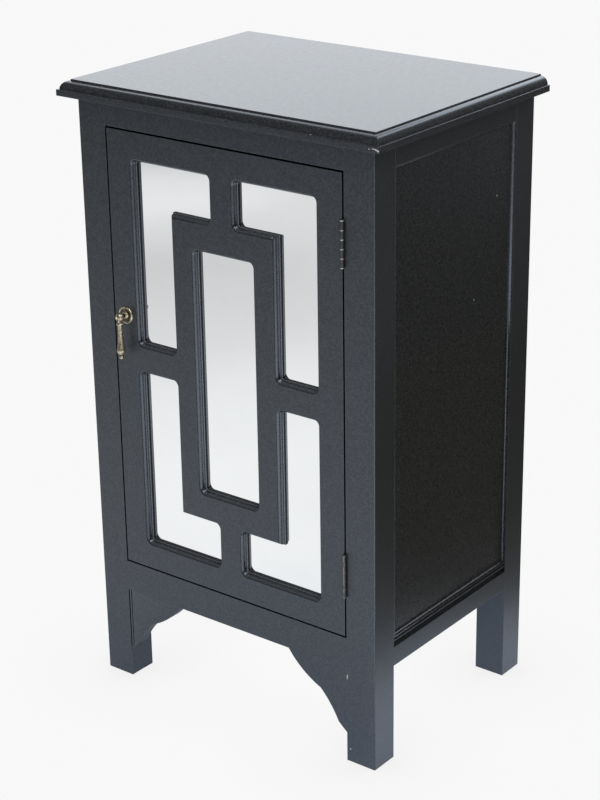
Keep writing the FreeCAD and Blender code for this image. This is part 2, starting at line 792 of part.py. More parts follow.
def side_rail_outline(sketch, sign, lower):
    """The section of a side rail, with the groove that holds the panel's edge."""
    face, inner = HALF, RAIL_INNER
    if lower:
        run = [
            (inner, "Sizes.arch_height"), (face, "Sizes.arch_height"), (face, SIDE_FACE_TOP),
            (f"({face} - Sizes.side_groove_depth)", SIDE_FACE_TOP),
            (f"({face} - Sizes.side_groove_depth)", SIDE_GROOVE_TOP),
            (f"({face} - Sizes.nose_inset)", SIDE_GROOVE_TOP),
            (f"({face} - Sizes.nose_inset)", NOSE_TOP),
            (f"({face} - Sizes.quirk_inset)", NOSE_TOP),
            (f"({face} - Sizes.quirk_inset)", SIDE_SILL),
            (PANEL_FACE, SIDE_SILL), (PANEL_FACE, PANEL_BOTTOM),
            (PANEL_INNER, PANEL_BOTTOM), (PANEL_INNER, SIDE_SILL), (inner, SIDE_SILL),
        ]
    else:
        run = [
            (inner, UNDER_TOP), (inner, SIDE_LINTEL), (PANEL_INNER, SIDE_LINTEL),
            (PANEL_INNER, PANEL_TOP), (PANEL_FACE, PANEL_TOP), (PANEL_FACE, SIDE_LINTEL),
            (face, SIDE_LINTEL), (face, UNDER_TOP),
        ]
    if sign < 0:
        run = [(f"-{x}", z) for x, z in run]
    trace(sketch, [(x, z, None) for x, z in run])


def side_rail(sign, lower, name):
    """A rail between a front and a rear leg."""
    body = new_body("SideRail")
    section = new_sketch(body, "XZ_Plane", f"-{FRONT_LEG_BACK}")
    side_rail_outline(section, sign, lower)
    pad(body, section, f"{REAR_LEG_FRONT} - {FRONT_LEG_BACK}", reverse=True)
    return keep(cut(body, all_dowel_holes), name)


def cross_rails():
    """The rails over and under the door and the two behind, between left and right legs."""
    width = (f"-{LEG_INNER}", LEG_INNER)
    front = box(width, (FRONT, f"{FRONT} + Sizes.rail_thickness"), (LINTEL, UNDER_TOP))
    keep(cut(front, all_dowel_holes), "front_top_rail")
    behind = (REAR_RAIL_FRONT, BACK_PANEL_FRONT)
    top = box(width, behind, (f"{UNDER_TOP} - Sizes.rear_rail_height", UNDER_TOP))
    keep(cut(top, all_dowel_holes, nail_holes), "rear_top_rail")
    foot = box(width, behind, ("Sizes.arch_height", "Sizes.arch_height + Sizes.rear_rail_height"))
    keep(cut(foot, all_dowel_holes, nail_holes), "rear_bottom_rail")
    sill = box(width, (FRONT, APRON_BACK), ("Sizes.arch_height", "Sizes.sill_height"))
    keep(cut(sill, all_dowel_holes), "front_bottom_rail")


def bracket(sign, name):
    """A shaped block in the corner under the rail: a swell, a cove and a straight toe."""
    body = new_body("Bracket")
    outline = new_sketch(body, "XZ_Plane", f"-{FRONT}")
    swell, cove = ("Sizes.bracket_swell_radius", sign), ("Sizes.bracket_cove_radius", -sign)
    run = [
        ("Sizes.arch_half_width", "Sizes.arch_height", swell),
        ("Sizes.bracket_cusp_out", "Sizes.bracket_cusp_height", cove),
        ("Sizes.bracket_toe_out", "Sizes.bracket_toe_height", None),
        (LEG_INNER, "Sizes.bracket_foot_height", None),
        (LEG_INNER, "Sizes.arch_height", None),
    ]
    trace(outline, [(f"{sign} * {x}", z, bend) for x, z, bend in run])
    pad(body, outline, "Sizes.apron_thickness", reverse=True)
    if sign > 0:
        return keep(body, name)
    shim = "(Sizes.seam_width + Sizes.shim_width)"
    seams = [
        seam(f"-{LEG_INNER} - Sizes.overrun", f"-{LEG_INNER} + Sizes.seam_width"),
        seam(f"-{LEG_INNER} + {shim}", f"-{LEG_INNER} + {shim} + Sizes.shim_seam_width"),
    ]
    return keep(cut(body, *seams), name)


def seam(left, right):
    """The cutter for an open glue line that shows from the front."""
    return box((left, right), (f"{FRONT} - Sizes.overrun", f"{FRONT} + Sizes.seam_depth"),
               ("Sizes.bracket_foot_height - Sizes.overrun", "Sizes.arch_height + Sizes.overrun"))


# Side panels and the beads that frame them


def side_panel(sign, name):
    """A flat panel whose edges sit in the grooves of the legs and rails."""
    y_span = (f"{FRONT_LEG_BACK} - Sizes.panel_groove + Sizes.panel_play",
              f"{REAR_LEG_FRONT} + Sizes.panel_groove - Sizes.panel_play")
    z_span = (PANEL_BOTTOM, f"{PANEL_TOP} - Sizes.panel_play")
    return keep(box(mirrored(sign, PANEL_INNER, PANEL_FACE), y_span, z_span), name)


def quarter_round(sign, corner, length, quadrant, upright):
    """A quarter-round strip whose two flat faces meet along the corner."""
    strip = doc.addObject("Part::Cylinder", "Strip")
    strip.setExpression("Radius", "Sizes.panel_recess")
    strip.setExpression("Height", length)
    strip.Angle = 90
    if upright:
        turn = Rotation(Vector(0, 0, 1), quadrant)
    else:
        turn = Rotation(Vector(1, 0, 0), -90).multiply(Rotation(Vector(0, 0, 1), quadrant))
    return place(strip, f"{sign} * {PANEL_FACE}", *corner, turn)


def mitre(sign, y, z, way, upright):
    """The waste beyond the mitre at one end of a strip; way is the strip's side of the corner."""
    reach = "(Sizes.panel_recess + Sizes.overrun)"
    waste = doc.addObject("Part::Box", "Waste")
    for side in ("Length", "Width", "Height"):
        waste.setExpression(side, reach)
    angle = {(True, 1): -45, (True, -1): 135, (False, 1): 45, (False, -1): 225}[(upright, way)]
    turn = Rotation(Vector(1, 0, 0), angle)
    return place(waste, f"{sign} * {PANEL_FACE} - {reach} / 2", y, z, turn)


def beads(sign, side):
    """Four mitred strips in the corner between panel and frame."""
    ys = {"front": (FRONT_LEG_BACK, 1), "rear": (REAR_LEG_FRONT, -1)}
    zs = {"bottom": (SIDE_SILL, 1), "top": (SIDE_LINTEL, -1)}
    for name, (y, y_way) in ys.items():
        quadrant = {(1, 1): 0, (1, -1): 270, (-1, 1): 90, (-1, -1): 180}[(sign, y_way)]
        strip = quarter_round(sign, (y, SIDE_SILL), f"{SIDE_LINTEL} - {SIDE_SILL}", quadrant, True)
        ends = [mitre(sign, y, z, y_way, True) for z, _ in zs.values()]
        keep(cut(strip, *ends), f"{side}_bead_{name}")
    for name, (z, z_way) in zs.items():
        quadrant = {(1, 1): 270, (1, -1): 0, (-1, 1): 180, (-1, -1): 90}[(sign, z_way)]
        length = f"{REAR_LEG_FRONT} - {FRONT_LEG_BACK}"
        strip = quarter_round(sign, (FRONT_LEG_BACK, z), length, quadrant, False)
        ends = [mitre(sign, y, z, z_way, False) for y, _ in ys.values()]
        keep(cut(strip, *ends), f"{side}_bead_{name}")


# Boards inside the carcass


def inner_boards():
    """The bottom board, the shelf, the back panel and the strips that carry them."""
    play = "Sizes.board_play"
    between = (FRONT_LEG_BACK, REAR_LEG_FRONT)
    board = ("Sizes.sill_height - Sizes.bottom_thickness", "Sizes.sill_height")
    main = box((f"-{RAIL_INNER} + {play}", f"{RAIL_INNER} - {play}"),
               (f"{FRONT_LEG_BACK} + {play}", f"{REAR_LEG_FRONT} - {play}"), board)
    tongue = box((f"-{LEG_INNER} + {play}", f"{LEG_INNER} - {play}"),
                 (APRON_BACK, REAR_RAIL_FRONT), board)
    keep(fuse(main, tongue), "bottom_board")
    keep(box((f"-{PANEL_INNER} + {play}", f"{PANEL_INNER} - {play}"),
             (f"{FRONT_LEG_BACK} + {play}", f"{REAR_LEG_FRONT} - {play}"),
             ("Sizes.shelf_height", "Sizes.shelf_height + Sizes.shelf_thickness")), "shelf")
    wide = f"({LEG_INNER} + Sizes.rabbet_width)"
    blank = box((f"-{wide}", wide), (BACK_PANEL_FRONT, BACK), ("Sizes.arch_height", UNDER_TOP))
    keep(cut(blank, nail_holes), "back_panel")
    for sign, side in ((-1, "left"), (1, "right")):
        low = mirrored(sign, f"{RAIL_INNER} - Sizes.cleat_width", RAIL_INNER)
        keep(box(low, between, (f"{board[0]} - Sizes.cleat_height", board[0])),
             f"{side}_bottom_cleat")
        middle = mirrored(sign, f"{PANEL_INNER} - Sizes.cleat_width", PANEL_INNER)
        keep(box(middle, between, ("Sizes.shelf_height - Sizes.cleat_height", "Sizes.shelf_height")),
             f"{side}_shelf_cleat")


def top_cleats():
    """Two strips under the top board, with the screws that hold it down."""
    rows = []
    strips = []
    for sign in (-1, 1):
        x = f"{sign} * ({RAIL_INNER} - Sizes.cleat_width / 2)"
        low = f"{UNDER_TOP} - Sizes.cleat_height"
        own = [
            raised_screw(x, y, low, "Sizes.top_screw_length", "z", 1)
            for y in (f"{FRONT_LEG_BACK} + Sizes.top_screw_inset",
                      f"{REAR_LEG_FRONT} - Sizes.top_screw_inset")
        ]
        rows += own
        span = mirrored(sign, f"{RAIL_INNER} - Sizes.cleat_width", RAIL_INNER)
        blank = box(span, (FRONT_LEG_BACK, REAR_LEG_FRONT), (low, UNDER_TOP))
        strips.append(cut(blank, *[hole for _, hole in own]))
    keep(group(strips), "top_cleats")
    keep(group([screw for screw, _ in rows]), "top_screws")
    return [hole for _, hole in rows]


# Door: the fretwork board


def rounded(sketch, corners, radius):
    """A closed outline of upright and level edges; each corner is x, y and whether it is round."""
    count = len(corners)
    places = [Vector(number(x), number(y), 0) for x, y, _ in corners]
    run = []
    for i, (x, y, is_round) in enumerate(corners):
        before, after = places[i - 1], places[(i + 1) % count]
        here = places[i]
        if not is_round:
            run.append((x, y, None))
            continue
        into = (here - before).normalize()
        out = (after - here).normalize()
        side = 1 if into.x * out.y - into.y * out.x > 0 else -1
        for way, bend in ((into * -1, (radius, side)), (out, None)):
            run.append((f"({x}) + {round(way.x)} * {radius}", f"({y}) + {round(way.y)} * {radius}",
                        bend))
    trace(sketch, run)


def fret_windows(sketch, grow, radius):
    """The central window and the four L-shaped ones; grow moves each edge outwards."""
    out, up = f"({CENTRE_OUT} + {grow})", f"({CENTRE_UP} + {grow})"
    rounded(sketch, [(f"-{out}", f"-{up}", True), (out, f"-{up}", True), (out, up, True),
                     (f"-{out}", up, True)], radius)
    bridge = f"(Sizes.bridge_width / 2 - {grow})"
    cross = f"(Sizes.cross_bridge_height / 2 - {grow})"
    far_out, far_up = f"({FRET_OUT} + {grow})", f"({FRET_UP} + {grow})"
    near_out, near_up = f"({RING_OUT} - {grow})", f"({RING_UP} - {grow})"
    for x_sign in (-1, 1):
        for z_sign in (-1, 1):
            ell = [(bridge, near_up, True), (bridge, far_up, True), (far_out, far_up, True),
                   (far_out, cross, True), (near_out, cross, True), (near_out, near_up, False)]
            rounded(sketch, [(f"{x_sign} * {x}", f"{z_sign} * {z}", is_round)
                             for x, z, is_round in ell], radius)


def door_lattice():
    """One board with five windows, a moulded edge round each, and a rebate behind."""
    body = new_body("DoorLattice")
    blank = new_sketch(body, "XZ_Plane")
    rectangle(blank, (f"-{DOOR_HALF_WIDTH}", DOOR_HALF_WIDTH), (f"-{DOOR_HALF_HEIGHT}", DOOR_HALF_HEIGHT))
    pad(body, blank, "Sizes.door_thickness", reverse=True)
    rebate = new_sketch(body, "XZ_Plane", "-Sizes.door_thickness")
    rectangle(rebate, (f"-{REBATE_OUT}", REBATE_OUT), (f"-{REBATE_UP}", REBATE_UP))
    pocket(body, rebate, "Sizes.door_thickness - Sizes.glass_setback", reverse=True)
    windows = new_sketch(body, "XZ_Plane")
    fret_windows(windows, "-Sizes.sticking_width", "Sizes.corner_round")
    pocket(body, windows)
    step = new_sketch(body, "XZ_Plane")
    fret_windows(step, "0", "(Sizes.corner_round + Sizes.sticking_width)")
    pocket(body, step, "Sizes.sticking_step")
    slope = new_sketch(body, "XZ_Plane", "-Sizes.sticking_step")
    fret_windows(slope, "-Sizes.sticking_flat",
                 "(Sizes.corner_round + Sizes.sticking_width - Sizes.sticking_flat)")
    fall = "(Sizes.lip_depth - Sizes.sticking_step)"
    lean = "(Sizes.sticking_width - Sizes.lip_width - Sizes.sticking_flat)"
    slanted = pocket(body, slope, fall)
    slanted.setExpression("TaperAngle", f"-atan({lean} / {fall})")
    doc.recompute()
    wide, high = number(DOOR_HALF_WIDTH), number(DOOR_HALF_HEIGHT)
    ease(body, "Sizes.door_arris", lambda edge: along(edge, y=0) and (
        along(edge, x=wide) or along(edge, x=-wide) or along(edge, z=high) or along(edge, z=-high)))
    return place(body, "0", FRONT, DOOR_CENTRE)


def clips():
    """Clips that hold the mirror and its backing in the rebate."""
    rows = []
    plates = []
    for sign in (-1, 1):
        for step in (-1, 0, 1):
            z = f"({DOOR_CENTRE} + {step} * Sizes.clip_spacing)"
            span = mirrored(sign, f"{REBATE_OUT} - Sizes.clip_length / 2",
                            f"{REBATE_OUT} + Sizes.clip_length / 2")
            plate = box(span, (DOOR_BACK, f"{DOOR_BACK} + Sizes.clip_thickness"),
                        (f"{z} - Sizes.clip_width / 2", f"{z} + Sizes.clip_width / 2"))
            x = f"{sign} * ({REBATE_OUT} + Sizes.clip_length / 2 - Sizes.clip_screw_inset)"
            screw = raised_screw(x, f"{DOOR_BACK} + Sizes.clip_thickness", z,
                                 "Sizes.clip_screw_length", "y", -1)
            rows.append(screw)
            plates.append(cut(plate, screw[1]))
    keep(group(plates), "mirror_clips")
    keep(group([screw for screw, _ in rows]), "clip_screws")
    return [hole for _, hole in rows]


def mirror_and_backing():
    """The sheet of mirror and the board behind it."""
    width = (f"-{REBATE_OUT} + Sizes.mirror_play", f"{REBATE_OUT} - Sizes.mirror_play")
    height = (f"{DOOR_CENTRE} - {REBATE_UP} + Sizes.mirror_play",
              f"{DOOR_CENTRE} + {REBATE_UP} - Sizes.mirror_play")
    glass_back = f"{GLASS_FRONT} + Sizes.mirror_thickness"
    keep(box(width, (GLASS_FRONT, glass_back), height), "mirror")
    keep(box(width, (glass_back, DOOR_BACK), height), "mirror_backing")


# Drop pull on the door's left stile


PULL_X = f"(-{STILE_CENTRE})"
BALL_Y = f"({FRONT} - Sizes.pull_reach)"


def rosette():
    """The round backplate, turned about its own axis."""
    body = new_body("Rosette")
    section = new_sketch(body, "XY_Plane")
    bore = "(Sizes.bolt_radius + Sizes.bolt_clearance)"
    rim_middle = "(Sizes.rosette_radius - Sizes.rosette_rim_width / 2)"
    rim_inner = "(Sizes.rosette_radius - Sizes.rosette_rim_width)"
    foot = "(Sizes.boss_radius + Sizes.boss_flare)"
    trace(section, [
        (bore, "0", None),
        (bore, "-Sizes.boss_height", None),
        ("Sizes.boss_radius", "-Sizes.boss_height", None),
        (foot, "-Sizes.rosette_dish_height", None),
        (rim_inner, "-Sizes.rosette_dish_height", ("Sizes.rosette_bend", -1)),
        (rim_middle, "-Sizes.rosette_rim_height", ("Sizes.rosette_bend", -1)),
        ("Sizes.rosette_radius", "-Sizes.rosette_edge", None),
        ("Sizes.rosette_radius", "0", None),
    ])
    revolve(body, section, "V_Axis")
    return place(body, PULL_X, FRONT, PULL_HEIGHT)


def pull_post():
    """The bolt through the door, with a slotted ball at its head."""
    boss_face = f"{FRONT} - Sizes.boss_height"
    ball = doc.addObject("Part::Sphere", "Ball")
    ball.setExpression("Radius", "Sizes.ball_radius")
    place(ball, PULL_X, BALL_Y, PULL_HEIGHT)
    neck = rod("Sizes.post_neck_radius", "Sizes.pull_reach - Sizes.boss_height", PULL_X, boss_face,
               PULL_HEIGHT, AGAINST_Y)
    flange = rod("Sizes.post_flange_radius", "Sizes.post_flange_height", PULL_X, boss_face,
                 PULL_HEIGHT, AGAINST_Y)
    length = ("Sizes.boss_height + Sizes.door_thickness + Sizes.washer_thickness"
              " + Sizes.nut_height + Sizes.bolt_overrun")
    bolt = rod("Sizes.bolt_radius", length, PULL_X, boss_face, PULL_HEIGHT, ALONG_Y)
    half = "(Sizes.tongue_thickness / 2 + Sizes.slot_clearance)"
    past = "(Sizes.ball_radius + Sizes.overrun)"
    slot = box((f"{PULL_X} - {half}", f"{PULL_X} + {half}"),
               (f"{BALL_Y} - {past}", f"{BALL_Y} + Sizes.slot_depth_back"),
               (f"{PULL_HEIGHT} - {past}", f"{PULL_HEIGHT} + Sizes.slot_depth_back"))
    bore = rod("Sizes.pivot_pin_radius + Sizes.running_clearance", f"2 * {past}",
               f"{PULL_X} - {past}", BALL_Y, PULL_HEIGHT, ALONG_X)
    return cut(fuse(ball, neck, flange, bolt), slot, bore)


def pivot_pin():
    """The pin that the drop swings on."""
    half = "(Sizes.ball_radius - Sizes.pivot_pin_inset)"
    return rod("Sizes.pivot_pin_radius", f"2 * {half}", f"{PULL_X} - {half}", BALL_Y,
               PULL_HEIGHT, ALONG_X)


def pendant():
    """The drop: a tongue with an eye, a collar, a long swelling body and a finial."""
    body = new_body("Drop")
    section = new_sketch(body, "XZ_Plane")
    tip = ("(Sizes.finial_drop + sqrt(Sizes.finial_radius ^ 2 - Sizes.finial_neck_radius ^ 2)"
           " + Sizes.finial_radius)")
    collar_foot = "(Sizes.collar_drop + Sizes.collar_height)"
    trace(section, [
        ("0", "-Sizes.collar_drop", None),
        ("0", f"-{tip}", ("Sizes.finial_radius", 1)),
        ("Sizes.finial_neck_radius", "-Sizes.finial_drop", None),
        ("Sizes.base_radius", "-Sizes.base_drop", ("Sizes.belly_bend", 1)),
        ("Sizes.belly_radius", "-Sizes.belly_drop", ("Sizes.throat_bend", -1)),
        ("Sizes.throat_radius", "-Sizes.throat_drop", None),
        ("Sizes.collar_rim_radius", f"-{collar_foot}", ("Sizes.collar_bend", 1)),
        ("Sizes.collar_rim_radius", "-Sizes.collar_drop", None),
    ])
    revolve(body, section, "V_Axis")
    place(body, PULL_X, BALL_Y, PULL_HEIGHT)
    half = "Sizes.tongue_thickness / 2"
    eye = rod("Sizes.eye_radius", "Sizes.tongue_thickness", f"{PULL_X} - {half}", BALL_Y,
              PULL_HEIGHT, ALONG_X)
    tongue = box((f"{PULL_X} - {half}", f"{PULL_X} + {half}"),
                 (f"{BALL_Y} - Sizes.tongue_width / 2", f"{BALL_Y} + Sizes.tongue_width / 2"),
                 (f"{PULL_HEIGHT} - Sizes.collar_drop - {half}", PULL_HEIGHT))
    bore = rod("Sizes.pivot_pin_radius + Sizes.running_clearance", "Sizes.tongue_thickness",
               f"{PULL_X} - {half}", BALL_Y, PULL_HEIGHT, ALONG_X)
    return cut(fuse(body, eye, tongue), bore)


def nut_and_washer():
    """The fixing on the back of the door."""
    bore = "Sizes.bolt_radius + Sizes.screw_clearance"
    plate = rod("Sizes.washer_radius", "Sizes.washer_thickness", PULL_X, DOOR_BACK,
                PULL_HEIGHT, ALONG_Y)
    hole = rod(bore, "Sizes.washer_thickness", PULL_X, DOOR_BACK, PULL_HEIGHT, ALONG_Y)
    keep(cut(plate, hole), "pull_washer")
    seat = f"{DOOR_BACK} + Sizes.washer_thickness"
    blank = doc.addObject("Part::Prism", "NutBlank")
    blank.Polygon = 6
    blank.setExpression("Circumradius", "Sizes.nut_radius")
    blank.setExpression("Height", "Sizes.nut_height")
    place(blank, PULL_X, seat, PULL_HEIGHT, ALONG_Y)
    thread = rod(bore, "Sizes.nut_height", PULL_X, seat, PULL_HEIGHT, ALONG_Y)
    keep(cut(blank, thread), "pull_nut")


# Carcass
screw_holes = top_cleats()
keep(cut(top_board(), *screw_holes), "top_board")
leg(-1, -1, "front_left_leg")
leg(1, -1, "front_right_leg")
leg(-1, 1, "rear_left_leg")
leg(1, 1, "rear_right_leg")
cross_rails()
bracket(-1, "left_bracket")
bracket(1, "right_bracket")
for sign, side in ((-1, "left"), (1, "right")):
    side_rail(sign, True, f"{side}_bottom_rail")
    side_rail(sign, False, f"{side}_top_rail")
    side_panel(sign, f"{side}_side_panel")
    beads(sign, side)
inner_boards()

# Door
clip_holes = clips()
bolt_hole = rod("Sizes.bolt_radius + Sizes.bolt_clearance", "Sizes.door_thickness", PULL_X, FRONT,
                PULL_HEIGHT, ALONG_Y)
door_holes = clip_holes + [bolt_hole] + [hole for _, hole in door_screws + strike_fixings]
keep(cut(door_lattice(), *door_holes), "door_lattice")
mirror_and_backing()

# Pull
keep(rosette(), "pull_rosette")
keep(pull_post(), "pull_post")
keep(pivot_pin(), "pull_pivot_pin")
keep(pendant(), "pull_pendant")
nut_and_washer()

doc.recompute()
for thing in doc.Objects:
    if "Invalid" in thing.State or "Error" in thing.State:
        raise RuntimeError(f"{thing.Label} failed: {thing.State}")
for name, thing in pieces.items():
    if thing.Shape.isNull() or not thing.Shape.isValid() or not thing.Shape.Solids:
        raise RuntimeError(f"{name} has no valid solid")

os.makedirs("parts", exist_ok=True)
for name, thing in pieces.items():
    thing.Shape.exportStep(os.path.join("parts", f"{name}.step"))
print(f"{len(pieces)} pieces written")
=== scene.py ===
import math

import bmesh
import bpy
from mathutils import Matrix, Vector


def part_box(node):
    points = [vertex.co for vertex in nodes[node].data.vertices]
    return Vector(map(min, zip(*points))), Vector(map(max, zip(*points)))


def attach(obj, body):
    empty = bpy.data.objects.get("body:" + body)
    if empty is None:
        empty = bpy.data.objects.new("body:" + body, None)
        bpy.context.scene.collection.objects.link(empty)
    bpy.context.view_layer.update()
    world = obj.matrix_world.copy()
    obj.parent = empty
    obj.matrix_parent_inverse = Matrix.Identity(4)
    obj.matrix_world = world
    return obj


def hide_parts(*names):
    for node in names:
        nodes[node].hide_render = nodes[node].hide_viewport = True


# The looks of a black accent cabinet: fresh wooden pieces with eased arrises stand on the CAD
# boxes, and every finish is built from nodes. Lengths are in millimetres until a mesh is made.

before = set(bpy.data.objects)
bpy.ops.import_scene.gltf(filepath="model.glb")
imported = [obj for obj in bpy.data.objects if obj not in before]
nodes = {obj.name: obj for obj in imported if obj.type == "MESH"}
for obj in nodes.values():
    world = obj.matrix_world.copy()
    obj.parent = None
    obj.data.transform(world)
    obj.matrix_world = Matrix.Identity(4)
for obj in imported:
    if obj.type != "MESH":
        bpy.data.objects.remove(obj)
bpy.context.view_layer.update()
scene = bpy.context.scene

MM = 0.001
WELD = 0.000002


def span(node):
    """The low and high millimetres of a CAD node along x, y and z."""
    low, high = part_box(node)
    return [(round(low[i] / MM, 3), round(high[i] / MM, 3)) for i in range(3)]


# Node graphs


class Link:
    """One output of a node. Arithmetic on it adds Math nodes."""

    def __init__(self, graph, socket):
        self.graph = graph
        self.socket = socket

    def math(self, operation, *values):
        return self.graph.node(
            "ShaderNodeMath", {"operation": operation}, dict(enumerate(values))
        )

    def __add__(self, other):
        return self.math("ADD", self, other)

    def __radd__(self, other):
        return self.math("ADD", other, self)

    def __sub__(self, other):
        return self.math("SUBTRACT", self, other)

    def __rsub__(self, other):
        return self.math("SUBTRACT", other, self)

    def __mul__(self, other):
        return self.math("MULTIPLY", self, other)

    def __rmul__(self, other):
        return self.math("MULTIPLY", other, self)

    def __abs__(self):
        return self.math("ABSOLUTE", self)

    def most(self, other):
        """The larger of two values."""
        return self.math("MAXIMUM", self, other)


class Graph:
    """A node tree that is written as expressions."""

    def __init__(self, tree):
        self.tree = tree
        tree.nodes.clear()

    def node(self, kind, settings=None, sockets=None, output=0):
        """Adds a node: its settings first, then its sockets' values, links or lists of links."""
        node = self.tree.nodes.new(kind)
        for key, value in (settings or {}).items():
            if key == "stops":
                self.set_stops(node.color_ramp, value)
            else:
                setattr(node, key, value)
        for key, value in (sockets or {}).items():
            links = [value] if isinstance(value, Link) else value
            if isinstance(links, list) and isinstance(links[0], Link):
                for link in links:
                    self.tree.links.new(link.socket, node.inputs[key])
            else:
                node.inputs[key].default_value = value
        return Link(self, node.outputs[output]) if node.outputs else None

    def set_stops(self, ramp, stops):
        """Gives a ramp its greys, in rising order, on a smooth curve."""
        ramp.interpolation = "B_SPLINE"
        for place, (at, grey) in enumerate(stops):
            stop = ramp.elements[place] if place < 2 else ramp.elements.new(at)
            stop.position = at
            stop.color = (grey, grey, grey, 1)

    def ease(self, value, low, high, start=0.0, end=1.0):
        """A smooth step between two values."""
        return self.node(
            "ShaderNodeMapRange",
            {"interpolation_type": "SMOOTHSTEP"},
            {0: value, 1: low, 2: high, 3: start, 4: end},
        )

    def blend(self, share, first, second):
        """A colour between two colours."""
        return self.node(
            "ShaderNodeMix",
            {"data_type": "RGBA"},
            {
                0: share,
                6: first if isinstance(first, Link) else (*first, 1),
                7: second if isinstance(second, Link) else (*second, 1),
            },
            output=2,
        )

    def between(self, value, rise, fall):
        """One from the end of the rise to the start of the fall, and nothing outside them."""
        return self.ease(value, *rise) * self.ease(value, *fall, 1.0, 0.0)

    def stretch(self, place, scale):
        """The same coordinates, scaled along each axis."""
        return self.node("ShaderNodeMapping", {}, {"Vector": place, "Scale": scale})

    def noise(self, place, scale, detail=2.0, roughness=0.5):
        """Noise about one half, with features of one metre over the scale."""
        sizes = {"Scale": scale, "Detail": detail, "Roughness": roughness}
        return self.node("ShaderNodeTexNoise", {}, {"Vector": place, **sizes})

    def dot(self, first, second):
        """How far one direction points along another."""
        settings = {"operation": "DOT_PRODUCT"}
        return self.node("ShaderNodeVectorMath", settings, {0: first, 1: second}, output="Value")

    def openness(self, reach, samples):
        """How open a point is, from nothing in a corner to one, within a reach in metres."""
        settings = {"samples": samples}
        return self.node(
            "ShaderNodeAmbientOcclusion", settings, {"Distance": reach}, output="AO"
        )

    def near(self, place, centre, reach):
        """One at a point given in millimetres, and nothing beyond the reach."""
        away = self.node(
            "ShaderNodeVectorMath",
            {"operation": "DISTANCE"},
            {0: place, 1: [c * MM for c in centre]},
            output="Value",
        )
        return self.ease(away, reach * MM * 0.45, reach * MM, 1.0, 0.0)


class Finish(Graph):
    """A material, with the coordinates and masks that most finishes share."""

    def __init__(self, name):
        self.material = bpy.data.materials.new(name)
        self.material.use_nodes = True
        super().__init__(self.material.node_tree)
        self.place = self.node("ShaderNodeTexCoord", output="Object")

    def part(self, vector, axis):
        """One part of a vector."""
        return self.node("ShaderNodeSeparateXYZ", {}, {0: vector}, output="xyz".index(axis))

    def along(self, axis, start=0.0):
        """The millimetres along an axis from a start."""
        return self.part(self.place, axis) * (1 / MM) - start

    def facing(self, axis):
        """How far the surface faces along an axis of its own piece."""
        return self.part(self.node("ShaderNodeTexCoord", output="Normal"), axis)

    def arris(self, width):
        """How near a point is to an outer or inner edge."""
        rounded = self.node("ShaderNodeBevel", {"samples": 4}, {"Radius": width * MM})
        return 1.0 - self.dot(rounded, self.node("ShaderNodeNewGeometry", output="True Normal"))

    def gap(self, reach, shut, clear):
        """One inside a narrow gap, nothing on an open face; it marks where shade is painted."""
        return self.ease(self.openness(reach * MM, 6), shut, clear, 1.0, 0.0)

    def surface(self, colour, roughness, height, depth, gap=None, **fixed):
        """Ends the graph in a Principled shader with a bump in mm; gaps get painted near-black
        shade.
        """
        bump = {"Height": height, "Distance": depth * MM, "Strength": 1.0}
        sockets = {
            "Base Color": colour,
            "Roughness": roughness,
            "Normal": self.node("ShaderNodeBump", {}, bump),
        }
        sockets.update({key.replace("_", " "): value for key, value in fixed.items()})
        shader = self.node("ShaderNodeBsdfPrincipled", {}, sockets)
        if gap is not None:
            # Painted shade: a near-black diffuse takes over where the gap mask is high.
            painted_shade = self.node("ShaderNodeBsdfDiffuse", {}, {"Color": (0.003, 0.003, 0.0035, 1)})
            shader = self.node("ShaderNodeMixShader", {}, {0: gap, 1: shader, 2: painted_shade})
        return self.end(shader)

    def end(self, shader):
        """Ends the graph in a shader."""
        self.node("ShaderNodeOutputMaterial", {}, {"Surface": shader})
        return self.material


# Finishes

# The door's place, and depths behind its front where its mouldings step, lip and end
DOOR_X, DOOR_Y, DOOR_Z = span("door_lattice")
STEP_DEPTH = 1.0
LIP_DEPTH = 7.9
GLASS_DEPTH = span("mirror")[1][0] - DOOR_Y[0]


